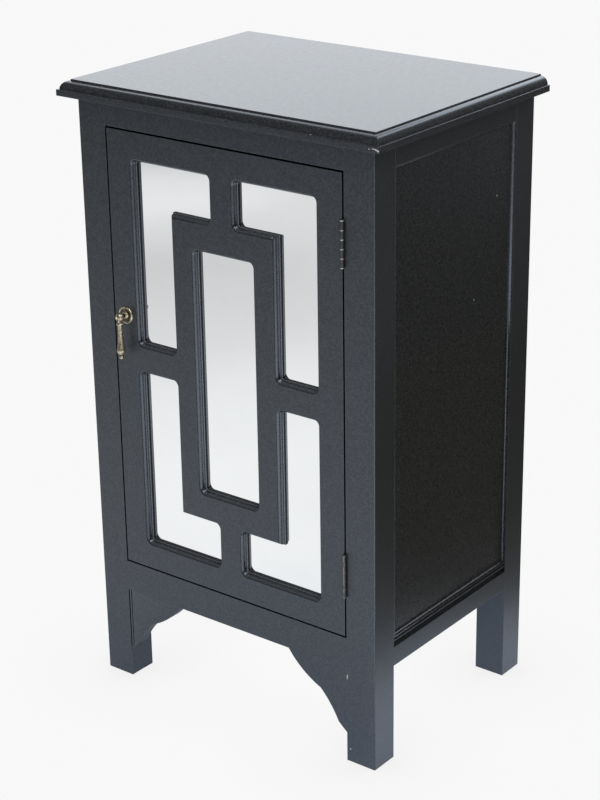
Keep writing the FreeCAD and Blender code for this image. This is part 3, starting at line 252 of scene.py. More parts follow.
def satin_paint(name, along, part="rail", roughness=0.44, chips_and_glints=(), rub=None):
    """Black satin paint, brushed along the board, with pale arrises that are partly wear and
    partly a painted highlight.
    """
    paint = Finish(name)
    long = {"x": (0.06, 1, 1), "y": (1, 0.06, 1), "z": (1, 1, 0.06)}[along]
    drift = paint.noise(paint.place, 7.0, 3.0)
    peel = paint.noise(paint.place, 640.0, 2.0, 0.6)
    brush = paint.noise(paint.stretch(paint.place, long), 420.0, 3.0, 0.55)
    mist = paint.noise(paint.place, 150.0, 3.0, 0.6)
    fleck = paint.ease(paint.noise(paint.place, 480.0, 2.0, 0.8), 0.42, 0.62)
    colour = paint.blend(drift, (0.0048, 0.0042, 0.0028), (0.0072, 0.0066, 0.0050))
    colour = paint.blend(fleck * 0.55, colour, (0.050, 0.048, 0.047))
    edge = paint.arris(1.6)
    patches = paint.noise(paint.place, 60.0, 4.0, 0.65)
    # Pale arrises: partly wear, partly a painted highlight along the edges.
    scuff_and_arris_highlight = paint.ease(edge * (0.4 + patches), 0.08, 0.3) * 0.8
    colour = paint.blend(scuff_and_arris_highlight, colour, (0.085, 0.087, 0.094))
    if rub:
        low, high, share = rub
        fade = 30
        reach = paint.between(paint.along("z"), (low, low + fade), (high - fade, high))
        bare = paint.ease(edge * (0.25 + patches), 0.1, 0.3) * reach * share
        colour = paint.blend(bare, colour, (0.17, 0.045, 0.022))
    # Pale specks: paint chips, and on the door also painted glints at window corners.
    for centre, reach in chips_and_glints:
        speck = paint.near(paint.place, centre, reach)
        colour = paint.blend(speck, colour, (0.62, 0.6, 0.56))
    gloss = roughness + (mist - 0.5) * 0.1 + (peel - 0.5) * 0.06 + scuff_and_arris_highlight * 0.1
    if part == "door":
        colour, gloss, gap = door_mouldings(paint, colour, gloss)
    elif part == "top":
        gloss = gloss + paint.ease(paint.facing("z"), 0.15, 0.5, 0.2, 0.0)
        gap = None
    elif part == "panel":
        # Painted shade in the panel's corners beside its beads.
        gap = paint.gap(3.0, 0.1, 0.3) * 0.7
    else:
        # Painted shade in the gaps between pieces.
        gap = paint.gap(9.0, 0.06, 0.26)
    if part == "bracket":
        # The bracket also gets painted shade on its downward faces.
        gap = gap.most(paint.ease(paint.facing("z"), -0.6, -0.15, 0.34, 0.0))
    skin = peel * 0.55 + brush * 0.45
    tint = (0.69, 0.80, 0.975, 1)
    return paint.surface(colour, gloss, skin, 0.022, gap, IOR=1.7, Specular_Tint=tint)


def door_mouldings(paint, colour, gloss):
    """Paint that is glossier in the door's mouldings, with painted light on their upward slopes, a
    painted highlight on their lips, painted shade in gaps and on the step, and near-black by the
    glass.
    """
    behind = paint.along("y", DOOR_Y[0])
    # Painted light: upward-facing slopes of the moulding are made paler.
    upward_painted_light = paint.ease(paint.facing("z"), 0.25, 0.8) * paint.ease(behind, 3.5, 6.9, 1.0, 0.0)
    colour = paint.blend(upward_painted_light * 0.7, colour, (0.060, 0.062, 0.066))
    # Painted highlight: a pale band along each lip.
    lip = paint.between(
        behind, (LIP_DEPTH - 0.2, LIP_DEPTH - 0.05), (LIP_DEPTH + 0.5, LIP_DEPTH + 0.8)
    )
    colour = paint.blend(lip * 0.7, colour, (0.110, 0.115, 0.125))
    gloss = gloss - paint.ease(behind, 0.2, 0.7) * 0.16
    rims = []
    for axis, (low, high) in (("x", DOOR_X), ("z", DOOR_Z)):
        middle, half = (low + high) / 2, (high - low) / 2
        away = abs(paint.along(axis, middle))
        rims.append(paint.ease(away, half - 6.4, half - 2.4))
    across = paint.ease(abs(paint.facing("x")), 0.4, 0.9)
    step = paint.between(behind, (0.1, 0.25), (STEP_DEPTH - 0.1, STEP_DEPTH + 0.1))
    slope = paint.between(
        behind, (STEP_DEPTH + 0.1, STEP_DEPTH + 0.3), (LIP_DEPTH - 0.9, LIP_DEPTH - 0.2)
    )
    wall = paint.between(
        behind, (LIP_DEPTH + 0.7, LIP_DEPTH + 1.3), (GLASS_DEPTH, GLASS_DEPTH + 0.1)
    )
    # Painted shade in the gaps round the door's edges; the wall by the glass turns near-black too.
    gap = paint.gap(14.0, 0.5, 0.85) * rims[0].most(rims[1]) + wall * (0.1 + across * 0.75)
    # The step gets a painted shadow line, and the side slopes a little painted shade.
    return colour, gloss, gap + step * 0.6 + slope * across * 0.2


def stained_board(name, along):
    """Dark stained board with open grain."""
    wood = Finish(name)
    long = {"x": (0.05, 1, 1), "y": (1, 0.05, 1), "z": (1, 1, 0.05)}[along]
    run = wood.stretch(wood.place, long)
    figure = wood.noise(run, 34.0, 5.0, 0.62)
    pores = wood.noise(run, 520.0, 2.0, 0.5)
    colour = wood.blend(
        wood.ease(figure, 0.3, 0.7), (0.030, 0.019, 0.013), (0.095, 0.058, 0.036)
    )
    colour = wood.blend(wood.ease(pores, 0.36, 0.5, 1.0, 0.0), colour, (0.014, 0.009, 0.007))
    gloss = 0.52 + (figure - 0.5) * 0.14
    return wood.surface(colour, gloss, pores + figure * 0.6, 0.05)


def hardboard(name):
    """Brown pressed board: short fibres, flecks and a faint mottle."""
    board = Finish(name)
    fibre = board.noise(board.stretch(board.place, (1, 1, 0.35)), 900.0, 3.0, 0.6)
    cross = board.noise(board.stretch(board.place, (0.35, 1, 1)), 700.0, 3.0, 0.6)
    mottle = board.noise(board.place, 26.0, 4.0, 0.6)
    colour = board.blend(mottle, (0.16, 0.092, 0.05), (0.30, 0.195, 0.115))
    colour = board.blend(
        board.ease(fibre * cross, 0.3, 0.45) * 0.5, colour, (0.42, 0.30, 0.19)
    )
    colour = board.blend(
        board.ease(fibre, 0.28, 0.38, 1.0, 0.0) * 0.7, colour, (0.07, 0.04, 0.025)
    )
    return board.surface(colour, 0.72 + (fibre - 0.5) * 0.2, fibre + cross, 0.05)


def bare_beech(name):
    """Pale close-grained wood of the dowels."""
    wood = Finish(name)
    run = wood.stretch(wood.place, (0.08, 1, 1))
    grain = wood.noise(run, 600.0, 4.0, 0.6)
    rays = wood.noise(wood.place, 1500.0, 1.0)
    colour = wood.blend(grain, (0.50, 0.34, 0.20), (0.70, 0.53, 0.36))
    colour = wood.blend(wood.ease(rays, 0.6, 0.7) * 0.5, colour, (0.36, 0.22, 0.12))
    return wood.surface(colour, 0.6 + (grain - 0.5) * 0.2, grain, 0.03)


def silvered_glass(name):
    """Mirror glass, very slightly uneven, with a faint haze of dust."""
    glass = Finish(name)
    sway = glass.noise(glass.place, 5.0, 1.0)
    haze = glass.noise(glass.place, 38.0, 4.0, 0.6)
    colour = glass.blend(haze, (0.72, 0.726, 0.730), (0.745, 0.752, 0.755))
    gloss = 0.012 + glass.ease(haze, 0.45, 0.85) * 0.03
    return glass.surface(colour, gloss, sway, 0.6, Metallic=1.0)


def old_brass(name, bright, dark):
    """Brass that is dark in its hollows and bright where it is rubbed."""
    brass = Finish(name)
    curve = brass.node("ShaderNodeNewGeometry", output="Pointiness")
    stain = brass.noise(brass.place, 420.0, 4.0, 0.65)
    pits = brass.noise(brass.place, 1500.0, 2.0)
    rubbed = brass.ease(curve + (stain - 0.5) * 0.22, 0.44, 0.56)
    colour = brass.blend(rubbed, dark, bright)
    metal = 1.0 - (1.0 - rubbed) * 0.15
    gloss = 0.34 + (1.0 - rubbed) * 0.2 + (stain - 0.5) * 0.12
    return brass.surface(colour, gloss, stain + pits * 0.5, 0.03, Metallic=metal)


def painted_hinge(name, pin, chipped, rubbed):
    """A hinge painted over: bare at its knuckle joints and along the front of its barrel, where
    the bare strip also stands in for a painted highlight; with painted shade in its crevices.
    """
    hinge = Finish(name)
    low, high = span(pin)[2]
    pin_head, knuckles = 0.8, 5
    pitch = (high - low - 2 * pin_head) / knuckles
    up = hinge.along("z", low + pin_head)
    joint = up.math("PINGPONG", up, pitch / 2)
    ragged = hinge.noise(hinge.place, 900.0, 3.0, 0.6)
    joints = hinge.ease(joint, 0.3, 0.9, 1.0, 0.0)
    joints = hinge.ease(joints * (0.35 + ragged), 0.3, 0.55) * chipped
    front = Vector((0.28, -0.96, 0))
    facing = hinge.dot(hinge.node("ShaderNodeNewGeometry", output="Normal"), front)
    patches = hinge.noise(hinge.stretch(hinge.place, (1, 1, 0.25)), 420.0, 3.0, 0.6)
    # Partly rubbed bare metal, partly a painted highlight along the front of the barrel.
    line = hinge.ease(facing, 0.955, 0.995) * hinge.ease(patches, 0.4, 0.56) * rubbed
    bare = joints.most(line)
    colour = hinge.blend(bare, (0.012, 0.013, 0.015), (0.55, 0.53, 0.45))
    gloss = 0.42 + (ragged - 0.5) * 0.2
    # Painted shade in the hinge's crevices.
    gap = hinge.gap(4.0, 0.15, 0.4)
    return hinge.surface(colour, gloss, ragged, 0.02, gap, Metallic=bare * 0.7)


def plated_steel(name, tone):
    """Zinc-plated or plain steel, finely scratched and a little dull."""
    steel = Finish(name)
    scratch = steel.noise(steel.stretch(steel.place, (1, 0.1, 1)), 2600.0, 2.0)
    cloud = steel.noise(steel.place, 300.0, 3.0, 0.6)
    colour = steel.blend(cloud, [c * 0.72 for c in tone], tone)
    grime = steel.ease(steel.arris(0.6), 0.1, 0.5)
    colour = steel.blend(grime * 0.35, colour, (0.05, 0.045, 0.04))
    gloss = 0.3 + (cloud - 0.5) * 0.2 + (scratch - 0.5) * 0.12
    return steel.surface(colour, gloss, scratch, 0.01, Metallic=1.0)


def moulded_plastic(name):
    """Brown moulded plastic with a fine spark-eroded texture."""
    plastic = Finish(name)
    spark = plastic.noise(plastic.place, 2200.0, 2.0, 0.6)
    flow = plastic.noise(plastic.place, 90.0, 3.0)
    colour = plastic.blend(flow, (0.085, 0.045, 0.028), (0.125, 0.072, 0.046))
    colour = plastic.blend(
        plastic.ease(plastic.arris(0.8), 0.1, 0.5) * 0.4, colour, (0.2, 0.125, 0.085)
    )
    return plastic.surface(colour, 0.45 + (spark - 0.5) * 0.2, spark, 0.02)


PAINT_X = satin_paint("satin_black_level", "x")
PAINT_Y = satin_paint("satin_black_deep", "y")
PAINT_Z = satin_paint("satin_black_upright", "z")
PAINT_BRACKET = satin_paint("satin_black_bracket", "x", "bracket")
PAINT_POST = satin_paint(
    "satin_black_front_post",
    "z",
    rub=(420, 660, 0.55),
    chips_and_glints=[
        ((181.4, -159.5, 121.2), 1.2),
        ((181.1, -159.5, 119.0), 1.4),
        ((180.9, -159.5, 116.8), 1.1),
        ((185.4, -159.5, 18), 1.3),
    ],
)
# The door's two specks sit at window corners and paint their glints as well as chips.
PAINT_DOOR = satin_paint(
    "satin_black_door",
    "z",
    "door",
    chips_and_glints=[((74.6, -156.5, 663.5), 1.7), ((19.5, -155.5, 671), 1.3)],
)
PAINT_PANEL = satin_paint(
    "satin_black_panel",
    "z",
    "panel",
    roughness=0.28,
    chips_and_glints=[((219, 99.4, 677.3), 1.0), ((219, 52.6, 556.9), 0.9), ((221, 129.8, 762.4), 2.2)],
)
PAINT_TOP = satin_paint(
    "satin_black_top",
    "x",
    "top",
    roughness=0.24,
    chips_and_glints=[
        ((147.6, -176, 801.2), 1.3),
        ((240.7, -177.5, 796.3), 1.4),
        ((239.0, -177.5, 797.0), 1.2),
        ((237.2, -177.5, 797.5), 1.1),
        ((235.3, -177.5, 797.8), 1.0),
        ((233.2, -177.5, 797.9), 0.9),
        ((228.6, -177.5, 797.1), 0.8),
    ],
)
STAINED_X = stained_board("stained_level", "x")
STAINED_Y = stained_board("stained_deep", "y")
HARDBOARD = hardboard("pressed_board")
BEECH = bare_beech("bare_beech")
GLASS = silvered_glass("silvered_glass")
PULL_BRASS = old_brass("aged_pull_brass", (0.53, 0.47, 0.35), (0.055, 0.042, 0.028))
UPPER_HINGE = painted_hinge("painted_over_hinge", "upper_hinge_pin", chipped=0.8, rubbed=0.05)
LOWER_HINGE = painted_hinge("rubbed_hinge", "lower_hinge_pin", chipped=0.2, rubbed=0.3)
ZINC = plated_steel("zinc_plate", (0.55, 0.55, 0.54))
MAGNET = plated_steel("magnet_face", (0.28, 0.28, 0.30))
PLASTIC = moulded_plastic("brown_plastic")


# Mesh building


class Shape:
    """Points in millimetres and the faces between them."""

    def __init__(self):
        self.points = []
        self.faces = []

    def loop(self, points):
        """Adds a ring of points and returns their numbers."""
        start = len(self.points)
        self.points.extend(points)
        return list(range(start, len(self.points)))

    def band(self, low, high):
        """Faces between two rings of the same count."""
        for i, low_point in enumerate(low):
            j = (i + 1) % len(low)
            self.faces.append((low_point, low[j], high[j], high[i]))

    def skin(self, rings, closed=False):
        """Faces along a row of rings, capped at both ends or joined end to end."""
        for low, high in zip(rings, rings[1:]):
            self.band(low, high)
        if closed:
            self.band(rings[-1], rings[0])
        else:
            self.faces += [tuple(rings[0]), tuple(rings[-1])]


def quarter(steps):
    """The turns of a quarter round, from nothing to a right angle."""
    return [k / steps * math.pi / 2 for k in range(steps + 1)]


def sweep(centre, first, last, turns):
    """Points of an arc about a centre, from its first ray towards its last."""
    whole = first.angle(last)
    points = []
    for share in turns:
        ray = first * math.sin((1 - share) * whole) + last * math.sin(share * whole)
        points.append(tuple(centre + ray / math.sin(whole)))
    return points


def soften(outline, radii, steps=4):
    """Rounds the corners of a closed outline; a corner with no radius stays as it is."""
    result = []
    for i, corner in enumerate(outline):
        radius = radii[i] if isinstance(radii, (list, tuple)) else radii
        here = Vector(corner)
        before = (Vector(outline[i - 1]) - here).normalized()
        after = (Vector(outline[(i + 1) % len(outline)]) - here).normalized()
        opening = math.acos(max(-1.0, min(1.0, before.dot(after))))
        if not radius or math.pi - opening < 0.01:
            result.append(tuple(here))
            continue
        centre = here + (before + after).normalized() * (radius / math.sin(opening / 2))
        setback = radius / math.tan(opening / 2)
        first = here + before * setback - centre
        last = here + after * setback - centre
        result += sweep(centre, first, last, [k / steps for k in range(steps + 1)])
    return result


def bow(start, end, radius, side, steps=8):
    """Points of the short arc after its start; side 1 has its centre left of the way."""
    a, b = Vector(start), Vector(end)
    chord = b - a
    left = Vector((-chord.y, chord.x)).normalized()
    rise = math.sqrt(max(radius * radius - chord.length_squared / 4, 0))
    centre = (a + b) / 2 + left * rise * side
    return sweep(centre, a - centre, b - centre, [k / steps for k in range(1, steps + 1)])


def inset(outline, depth):
    """A counter-clockwise outline moved inwards."""
    result = []
    for i, corner in enumerate(outline):
        here = Vector(corner)
        into = (here - Vector(outline[i - 1])).normalized()
        out = (Vector(outline[(i + 1) % len(outline)]) - here).normalized()
        a, b = Vector((-into.y, into.x)), Vector((-out.y, out.x))
        result.append(tuple(here + (a + b) * (depth / (1 + a.dot(b)))))
    return result


def counter_clockwise(outline):
    """The outline in counter-clockwise order."""
    area = sum(
        x * outline[(i + 1) % len(outline)][1] - outline[(i + 1) % len(outline)][0] * y
        for i, (x, y) in enumerate(outline)
    )
    return list(outline) if area > 0 else list(reversed(outline))


def laid(axis, first, second, along):
    """A point whose outline lies across an axis."""
    return {
        "x": (along, first, second),
        "y": (first, along, second),
        "z": (first, second, along),
    }[axis]


def board(shape, outline, axis, low, high, ease=(0.5, 0.5), steps=3):
    """A board of the given outline along an axis, its end arrises rounded."""
    outline = counter_clockwise(outline)
    rows = []
    for end, sense, radius in ((low, 1, ease[0]), (high, -1, ease[1])):
        own = []
        for turn in quarter(steps) if radius else [math.pi / 2]:
            into, up = radius * (1 - math.sin(turn)), radius * (1 - math.cos(turn))
            own.append((into, end + sense * up))
        rows += own if sense > 0 else own[::-1]
    rings = []
    for depth, along in rows:
        line = inset(outline, min(depth, 0.98 * max(ease))) if depth else outline
        rings.append(shape.loop([laid(axis, x, y, along) for x, y in line]))
    shape.skin(rings)
    return shape


def rectangle(first, second):
    """The corners of a rectangle between two spans."""
    (a, b), (c, d) = first, second
    return [(a, c), (b, c), (b, d), (a, d)]


def turned(shape, profile, axis, centre, segments=64, closed=False):
    """A profile of radius and distance along an axis, turned about it."""
    rings = []
    for radius, along in profile:
        ring = []
        for i in range(segments):
            angle = 2 * math.pi * i / segments
            first, second = radius * math.cos(angle), radius * math.sin(angle)
            point = laid(axis, first, second, along)
            ring.append(tuple(p + c for p, c in zip(point, centre)))
        rings.append(shape.loop(ring))
    shape.skin(rings, closed)
    return shape


def settle(made):
    """Applies the modifiers of a piece to its mesh."""
    graph = bpy.context.evaluated_depsgraph_get()
    graph.update()
    mesh = bpy.data.meshes.new_from_object(made.evaluated_get(graph))
    mesh.name = made.name
    made.modifiers.clear()
    old = made.data
    made.data = mesh
    bpy.data.meshes.remove(old)


def linked(name, data):
    """An object in the scene for a mesh, a lamp or a camera."""
    made = bpy.data.objects.new(name, data)
    scene.collection.objects.link(made)
    return made


def meshed(name, work, crease):
    """A mesh object from a worked mesh, shaded smooth up to its crease angle."""
    for face in work.faces:
        face.smooth = True
    mesh = bpy.data.meshes.new(name)
    work.to_mesh(mesh)
    work.free()
    mesh.set_sharp_from_angle(angle=math.radians(crease))
    return linked(name, mesh)


def solid(name, shape, crease=40):
    """A welded mesh object whose faces point outwards, flat faces shaded flat."""
    plain = bpy.data.meshes.new(name)
    plain.from_pydata([[c * MM for c in point] for point in shape.points], [], shape.faces)
    work = bmesh.new()
    work.from_mesh(plain)
    bpy.data.meshes.remove(plain)
    bmesh.ops.remove_doubles(work, verts=work.verts, dist=WELD)
    bmesh.ops.dissolve_degenerate(work, dist=WELD, edges=work.edges)
    bmesh.ops.recalc_face_normals(work, faces=work.faces)
    return meshed(name, work, crease)


def carve(made, shapes):
    """Cuts shapes out of a piece."""
    cutters = []
    for number, shape in enumerate(shapes):
        cutter = solid(f"{made.name}_cutter_{number}", shape)
        cut = made.modifiers.new(f"cut_{number}", "BOOLEAN")
        cut.operation = "DIFFERENCE"
        cut.solver = "EXACT"
        cut.object = cutter
        cutters.append(cutter)
    settle(made)
    for cutter in cutters:
        bpy.data.objects.remove(cutter)


def shade(made):
    """Gives large flat faces their own normals, and applies everything."""
    weigh = made.modifiers.new("flat_faces", "WEIGHTED_NORMAL")
    weigh.keep_sharp = True
    weigh.weight = 100
    settle(made)


def hang(made, body, stands_for, finish):
    """Paints a finished piece and lets it ride on its body in place of its CAD nodes."""
    made.data.materials.clear()
    made.data.materials.append(finish)
    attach(made, body)
    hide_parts(*stands_for)
    return made


def wooden(node, shape, finish, body="cabinet", also=()):
    """A wooden piece in place of one CAD node, and of any others that it takes in."""
    made = solid(f"wood_{node}", shape)
    shade(made)
    return hang(made, body, (node, *also), finish)


def islands(node):
    """The boxes of the separate solids of a CAD node, in millimetres."""
    work = bmesh.new()
    work.from_mesh(nodes[node].data)
    bmesh.ops.remove_doubles(work, verts=work.verts, dist=WELD)
    work.verts.ensure_lookup_table()
    seen = set()
    boxes = []
    for start in work.verts:
        if start.index in seen:
            continue
        seen.add(start.index)
        reached = [start]
        for vert in reached:
            for edge in vert.link_edges:
                other = edge.other_vert(vert)
                if other.index not in seen:
                    seen.add(other.index)
                    reached.append(other)
        sides = [[vert.co[i] / MM for vert in reached] for i in range(3)]
        boxes.append([(min(side), max(side)) for side in sides])
    work.free()
    return boxes


# Carcass

FRONT_LEG_Y = span("front_right_leg")[1]
REAR_LEG_Y = span("rear_right_leg")[1]
BACK_X, BACK_Y, BACK_Z = span("back_panel")

# Lower side rail, from its foot up and from its face in: groove, nose and quirk
GROOVE_FOOT, NOSE_FOOT, NOSE_TOP = 26, 33.4, 35.8
GROOVE_DEPTH, NOSE_DEPTH, QUIRK_DEPTH = 5, 0.8, 3.4

# Brackets, from the middle of the cabinet: the cusp between swell and cove, and the toe
CUSP_OUT, CUSP_UP = 139.2, 90.3
TOE_OUT, TOE_UP = 167.2, 51.5
SWELL_RADIUS, COVE_RADIUS = 119, 130

# Glue lines beside the left leg: how far from the leg and how wide
GLUE_LINES = ((0, 1.9), (4.5, 1.2))
GLUE_DEPTH = 7

# Top board: fascia, quarter round and the step over it
FASCIA_HEIGHT, FASCIA_ARRIS = 8, 0.8
ROUND_RADIUS, STEP_IN, STEP_ARRIS = 10, 13, 0.8


def front_leg(node, outward):
    """A square leg: the outer front arris is rounder than the others."""
    x, y, z = span(node)
    round_arris, sharp_arris = 1.4, 0.2
    foot_arris, head_arris = 1.0, 0.3
    outer_front = (x[outward], y[0])
    corners = rectangle(x, y)
    radii = [round_arris if corner == outer_front else sharp_arris for corner in corners]
    return board(Shape(), soften(corners, radii), "z", *z, (foot_arris, head_arris))


def rear_leg(node, outward):
    """A square leg with a rabbet behind for the back panel, above its foot."""
    x, y, z = span(node)
    inner, outer = x[1 - outward], x[outward]
    lap = BACK_X[outward]
    foot = [(outer, y[0]), (outer, y[1]), (lap, y[1]), (inner, y[1]), (inner, BACK_Y[0])]
    foot.append((inner, y[0]))
    upper = foot[:3] + [(lap, BACK_Y[0])] + foot[4:]
    radii = [0.2, 1.3, 0, 0, 0, 0.3]
    low, high = soften(foot, radii), soften(upper, radii)
    if counter_clockwise(low) != low:
        low, high = low[::-1], high[::-1]
    foot_arris, foot_inset = 1, 0.48
    shape = Shape()
    rings = []
    for turn in quarter(3):
        line = inset(low, foot_inset * (1 - math.sin(turn)))
        up = z[0] + foot_arris * (1 - math.cos(turn))
        rings.append(shape.loop([(px, py, up) for px, py in line]))
    foot_top = shape.loop([(px, py, BACK_Z[0]) for px, py in low])
    for lower, higher in zip(rings, rings[1:] + [foot_top]):
        shape.band(lower, higher)
    shape.faces.append(tuple(rings[0]))
    start = shape.loop([(px, py, BACK_Z[0]) for px, py in high])
    end = shape.loop([(px, py, z[1]) for px, py in high])
    shape.band(start, end)
    shape.faces.append(tuple(end))
    ledge = [(lap, y[1]), (inner, y[1]), (inner, BACK_Y[0]), (lap, BACK_Y[0])]
    shape.faces.append(tuple(shape.loop([(px, py, BACK_Z[0]) for px, py in ledge])))
    return shape


def rail(node, axis, ease=(0.35, 0.35), radius=0.5):
    """A plain rail, shelf, strip or panel with eased arrises."""
    sides = span(node)
    index = "xyz".index(axis)
    across = [side for i, side in enumerate(sides) if i != index]
    return board(Shape(), soften(rectangle(*across), radius), axis, *sides[index], ease)


def moulded_side_rail(node, sign):
    """The lower side rail: flat face, milled groove, nose and quirk."""
    x, y, z = span(node)
    face = x[1] if sign > 0 else x[0]
    inner = x[0] if sign > 0 else x[1]
    thick = abs(face - inner)
    top = span("right_bead_bottom")[2][0] - z[0]
    run = [
        (thick, 0, 0.5),
        (0, 0, 0.8),
        (0, GROOVE_FOOT, 0.4),
        (GROOVE_DEPTH, GROOVE_FOOT, 0.3),
        (GROOVE_DEPTH, NOSE_FOOT, 0.3),
        (NOSE_DEPTH, NOSE_FOOT, 0.6),
        (NOSE_DEPTH, NOSE_TOP, 0.6),
        (QUIRK_DEPTH, NOSE_TOP, 0.2),
        (QUIRK_DEPTH, top, 0.2),
        (thick, top, 0.5),
    ]
    corners = [(face - sign * depth, z[0] + up) for depth, up, _ in run]
    outline = soften(corners, [radius for _, _, radius in run], steps=3)
    return board(Shape(), outline, "y", *y, (0.1, 0.1), steps=1)


def panel_beads(side, sign):
    """The quarter-round strips round a side panel, mitred at their corners."""
    panel_x = span(f"{side}_side_panel")[0]
    face = panel_x[1] if sign > 0 else panel_x[0]
    low = span(f"{side}_bead_bottom")
    high = span(f"{side}_bead_top")
    radius = low[0][1] - low[0][0]
    ys, zs = low[1], (low[2][0], high[2][1])
    section = [(0, 0)]
    for turn in quarter(10):
        section.append((radius * math.cos(turn), radius * math.sin(turn)))
    shape = Shape()
    rings = []
    for out, into in section:
        corners = rectangle((ys[0] + into, ys[1] - into), (zs[0] + into, zs[1] - into))
        rings.append(shape.loop([(face + sign * out, y, z) for y, z in corners]))
    shape.skin(rings, closed=True)
    return shape


def bracket(node, sign):
    """A shaped block under the rail: a swell, a cove and a straight toe."""
    x, y, z = span(node)
    inner, leg = (x[0], x[1]) if sign > 0 else (x[1], x[0])
    cusp, toe = (sign * CUSP_OUT, CUSP_UP), (sign * TOE_OUT, TOE_UP)
    swell = bow((inner, z[1]), cusp, SWELL_RADIUS, sign, 14)
    cove = bow(cusp, toe, COVE_RADIUS, -sign, 10)
    outline = [(inner, z[1])] + swell + cove + [(leg, z[0]), (leg, z[1])]
    return board(Shape(), outline, "y", *y, (0.15, 0.5))


def seamed_bracket():
    """The left bracket, with two open glue lines beside the leg."""
    made = solid("wood_left_bracket", bracket("left_bracket", -1))
    x, y, z = span("left_bracket")
    slots = []
    for near, wide in GLUE_LINES:
        start = x[0] + near if near else x[0] - 0.5
        lines = rectangle((start, x[0] + near + wide), (y[0] - 2, y[0] + GLUE_DEPTH))
        slots.append(board(Shape(), lines, "z", z[0] - 5, z[1] + 5, (0, 0)))
    carve(made, slots)
    shade(made)
    return hang(made, "cabinet", ("left_bracket",), PAINT_BRACKET)


def top_board():
    """The slab: step, ovolo, ledge and fascia on the front and sides, a plain back."""
    x, y, z = span("top_board")
    under, over = z
    ledge = under + FASCIA_HEIGHT
    profile = [(0.5, under), (0.15, under + 0.15), (0, under + 0.5), (0, ledge - FASCIA_ARRIS)]
    profile += [(0.11, ledge - 0.4), (0.4, ledge - 0.11), (FASCIA_ARRIS, ledge)]
    for turn in reversed(quarter(16)):
        into = STEP_IN - ROUND_RADIUS * math.sin(turn)
        profile.append((into, ledge + ROUND_RADIUS * math.cos(turn)))
    for turn in quarter(4):
        into = STEP_IN + STEP_ARRIS * (1 - math.cos(turn))
        profile.append((into, over - STEP_ARRIS * (1 - math.sin(turn))))
    shape = Shape()
    rings = []
    for into, up in profile:
        left, right, front = x[0] + into, x[1] - into, y[0] + into
        corners = [(left, y[1]), (left, front), (right, front), (right, y[1])]
        rings.append(shape.loop([(a, b, up) for a, b in corners]))
    for low, high in zip(rings, rings[1:]):
        for i in range(3):
            shape.faces.append((low[i], low[i + 1], high[i + 1], high[i]))
    shape.faces += [tuple(rings[0]), tuple(rings[-1])]
    back = [ring[0] for ring in rings] + [ring[3] for ring in reversed(rings)]
    shape.faces.append(tuple(back))
    return shape


def bottom_board():
    """The board over the rail, narrower where it passes between the legs."""
    x, y, z = span("bottom_board")
    play = 0.5
    rail_x = span("front_bottom_rail")[0]
    narrow = (rail_x[0] + play, rail_x[1] - play)
    wide = (FRONT_LEG_Y[1] + play, REAR_LEG_Y[0] - play)
    outline = [
        (narrow[0], y[0]), (narrow[1], y[0]), (narrow[1], wide[0]), (x[1], wide[0]),
        (x[1], wide[1]), (narrow[1], wide[1]), (narrow[1], y[1]), (narrow[0], y[1]),
        (narrow[0], wide[1]), (x[0], wide[1]), (x[0], wide[0]), (narrow[0], wide[0]),
    ]
    return board(Shape(), outline, "z", *z, (0.2, 0.3))


def build_carcass():
    """Everything that stands still and is made of wood."""
    wooden("front_left_leg", front_leg("front_left_leg", 0), PAINT_Z)
    wooden("front_right_leg", front_leg("front_right_leg", 1), PAINT_POST)
    wooden("rear_left_leg", rear_leg("rear_left_leg", 0), PAINT_Z)
    wooden("rear_right_leg", rear_leg("rear_right_leg", 1), PAINT_Z)
    wooden("front_top_rail", rail("front_top_rail", "x"), PAINT_X)
    wooden("front_bottom_rail", rail("front_bottom_rail", "x", (0.2, 0.2), 0.12), PAINT_X)
    wooden("rear_top_rail", rail("rear_top_rail", "x"), PAINT_X)
    wooden("rear_bottom_rail", rail("rear_bottom_rail", "x"), PAINT_X)
    wooden("right_bracket", bracket("right_bracket", 1), PAINT_BRACKET)
    seamed_bracket()
    for side, sign in (("left", -1), ("right", 1)):
        wooden(f"{side}_top_rail", rail(f"{side}_top_rail", "y"), PAINT_Y)
        shape = moulded_side_rail(f"{side}_bottom_rail", sign)
        wooden(f"{side}_bottom_rail", shape, PAINT_Y)
        wooden(f"{side}_side_panel", rail(f"{side}_side_panel", "x", (0.3, 0.3)), PAINT_PANEL)
        others = [f"{side}_bead_{name}" for name in ("rear", "bottom", "top")]
        wooden(f"{side}_bead_front", panel_beads(side, sign), PAINT_PANEL, also=others)
        for strip in ("bottom", "shelf"):
            node = f"{side}_{strip}_cleat"
            wooden(node, rail(node, "y"), STAINED_Y)
    wooden("top_board", top_board(), PAINT_TOP)
    wooden("bottom_board", bottom_board(), STAINED_X)
    wooden("shelf", rail("shelf", "x", (0.8, 0.8), 1.2), STAINED_X)
    wooden("back_panel", rail("back_panel", "x", (0.3, 0.3)), HARDBOARD)
    strips = Shape()
    for x, y, z in islands("top_cleats"):
        board(strips, soften(rectangle(x, z), 0.8), "y", *y, (0.5, 0.5))
    wooden("top_cleats", strips, STAINED_Y)


# Door


# The fretwork's windows from the door's centre: the middle one, the bars between the others,
# and the outer and inner corners of those
MIDDLE_OUT, MIDDLE_UP = 47.6, 161.65
BRIDGE_HALF, CROSS_BRIDGE_HALF = 16.5, 16.35
OUTER_OUT, OUTER_UP = 142, 258.15
INNER_OUT, INNER_UP = 78, 195.35

# The moulded edge: how far its step stands back from the window, its lip into it, and the
# round between the two
STEP_BACK, LIP_OUT, LIP_ARRIS = 1.0, 4, 0.6
ROUND_START, ROUND_WIDE, ROUND_DEEP = -0.5, 3.2, 6.7
DOOR_PLAY, DOOR_ARRIS, WINDOW_SHIFT = 0.3, 0.35, -0.5
REBATE_LAP = 4

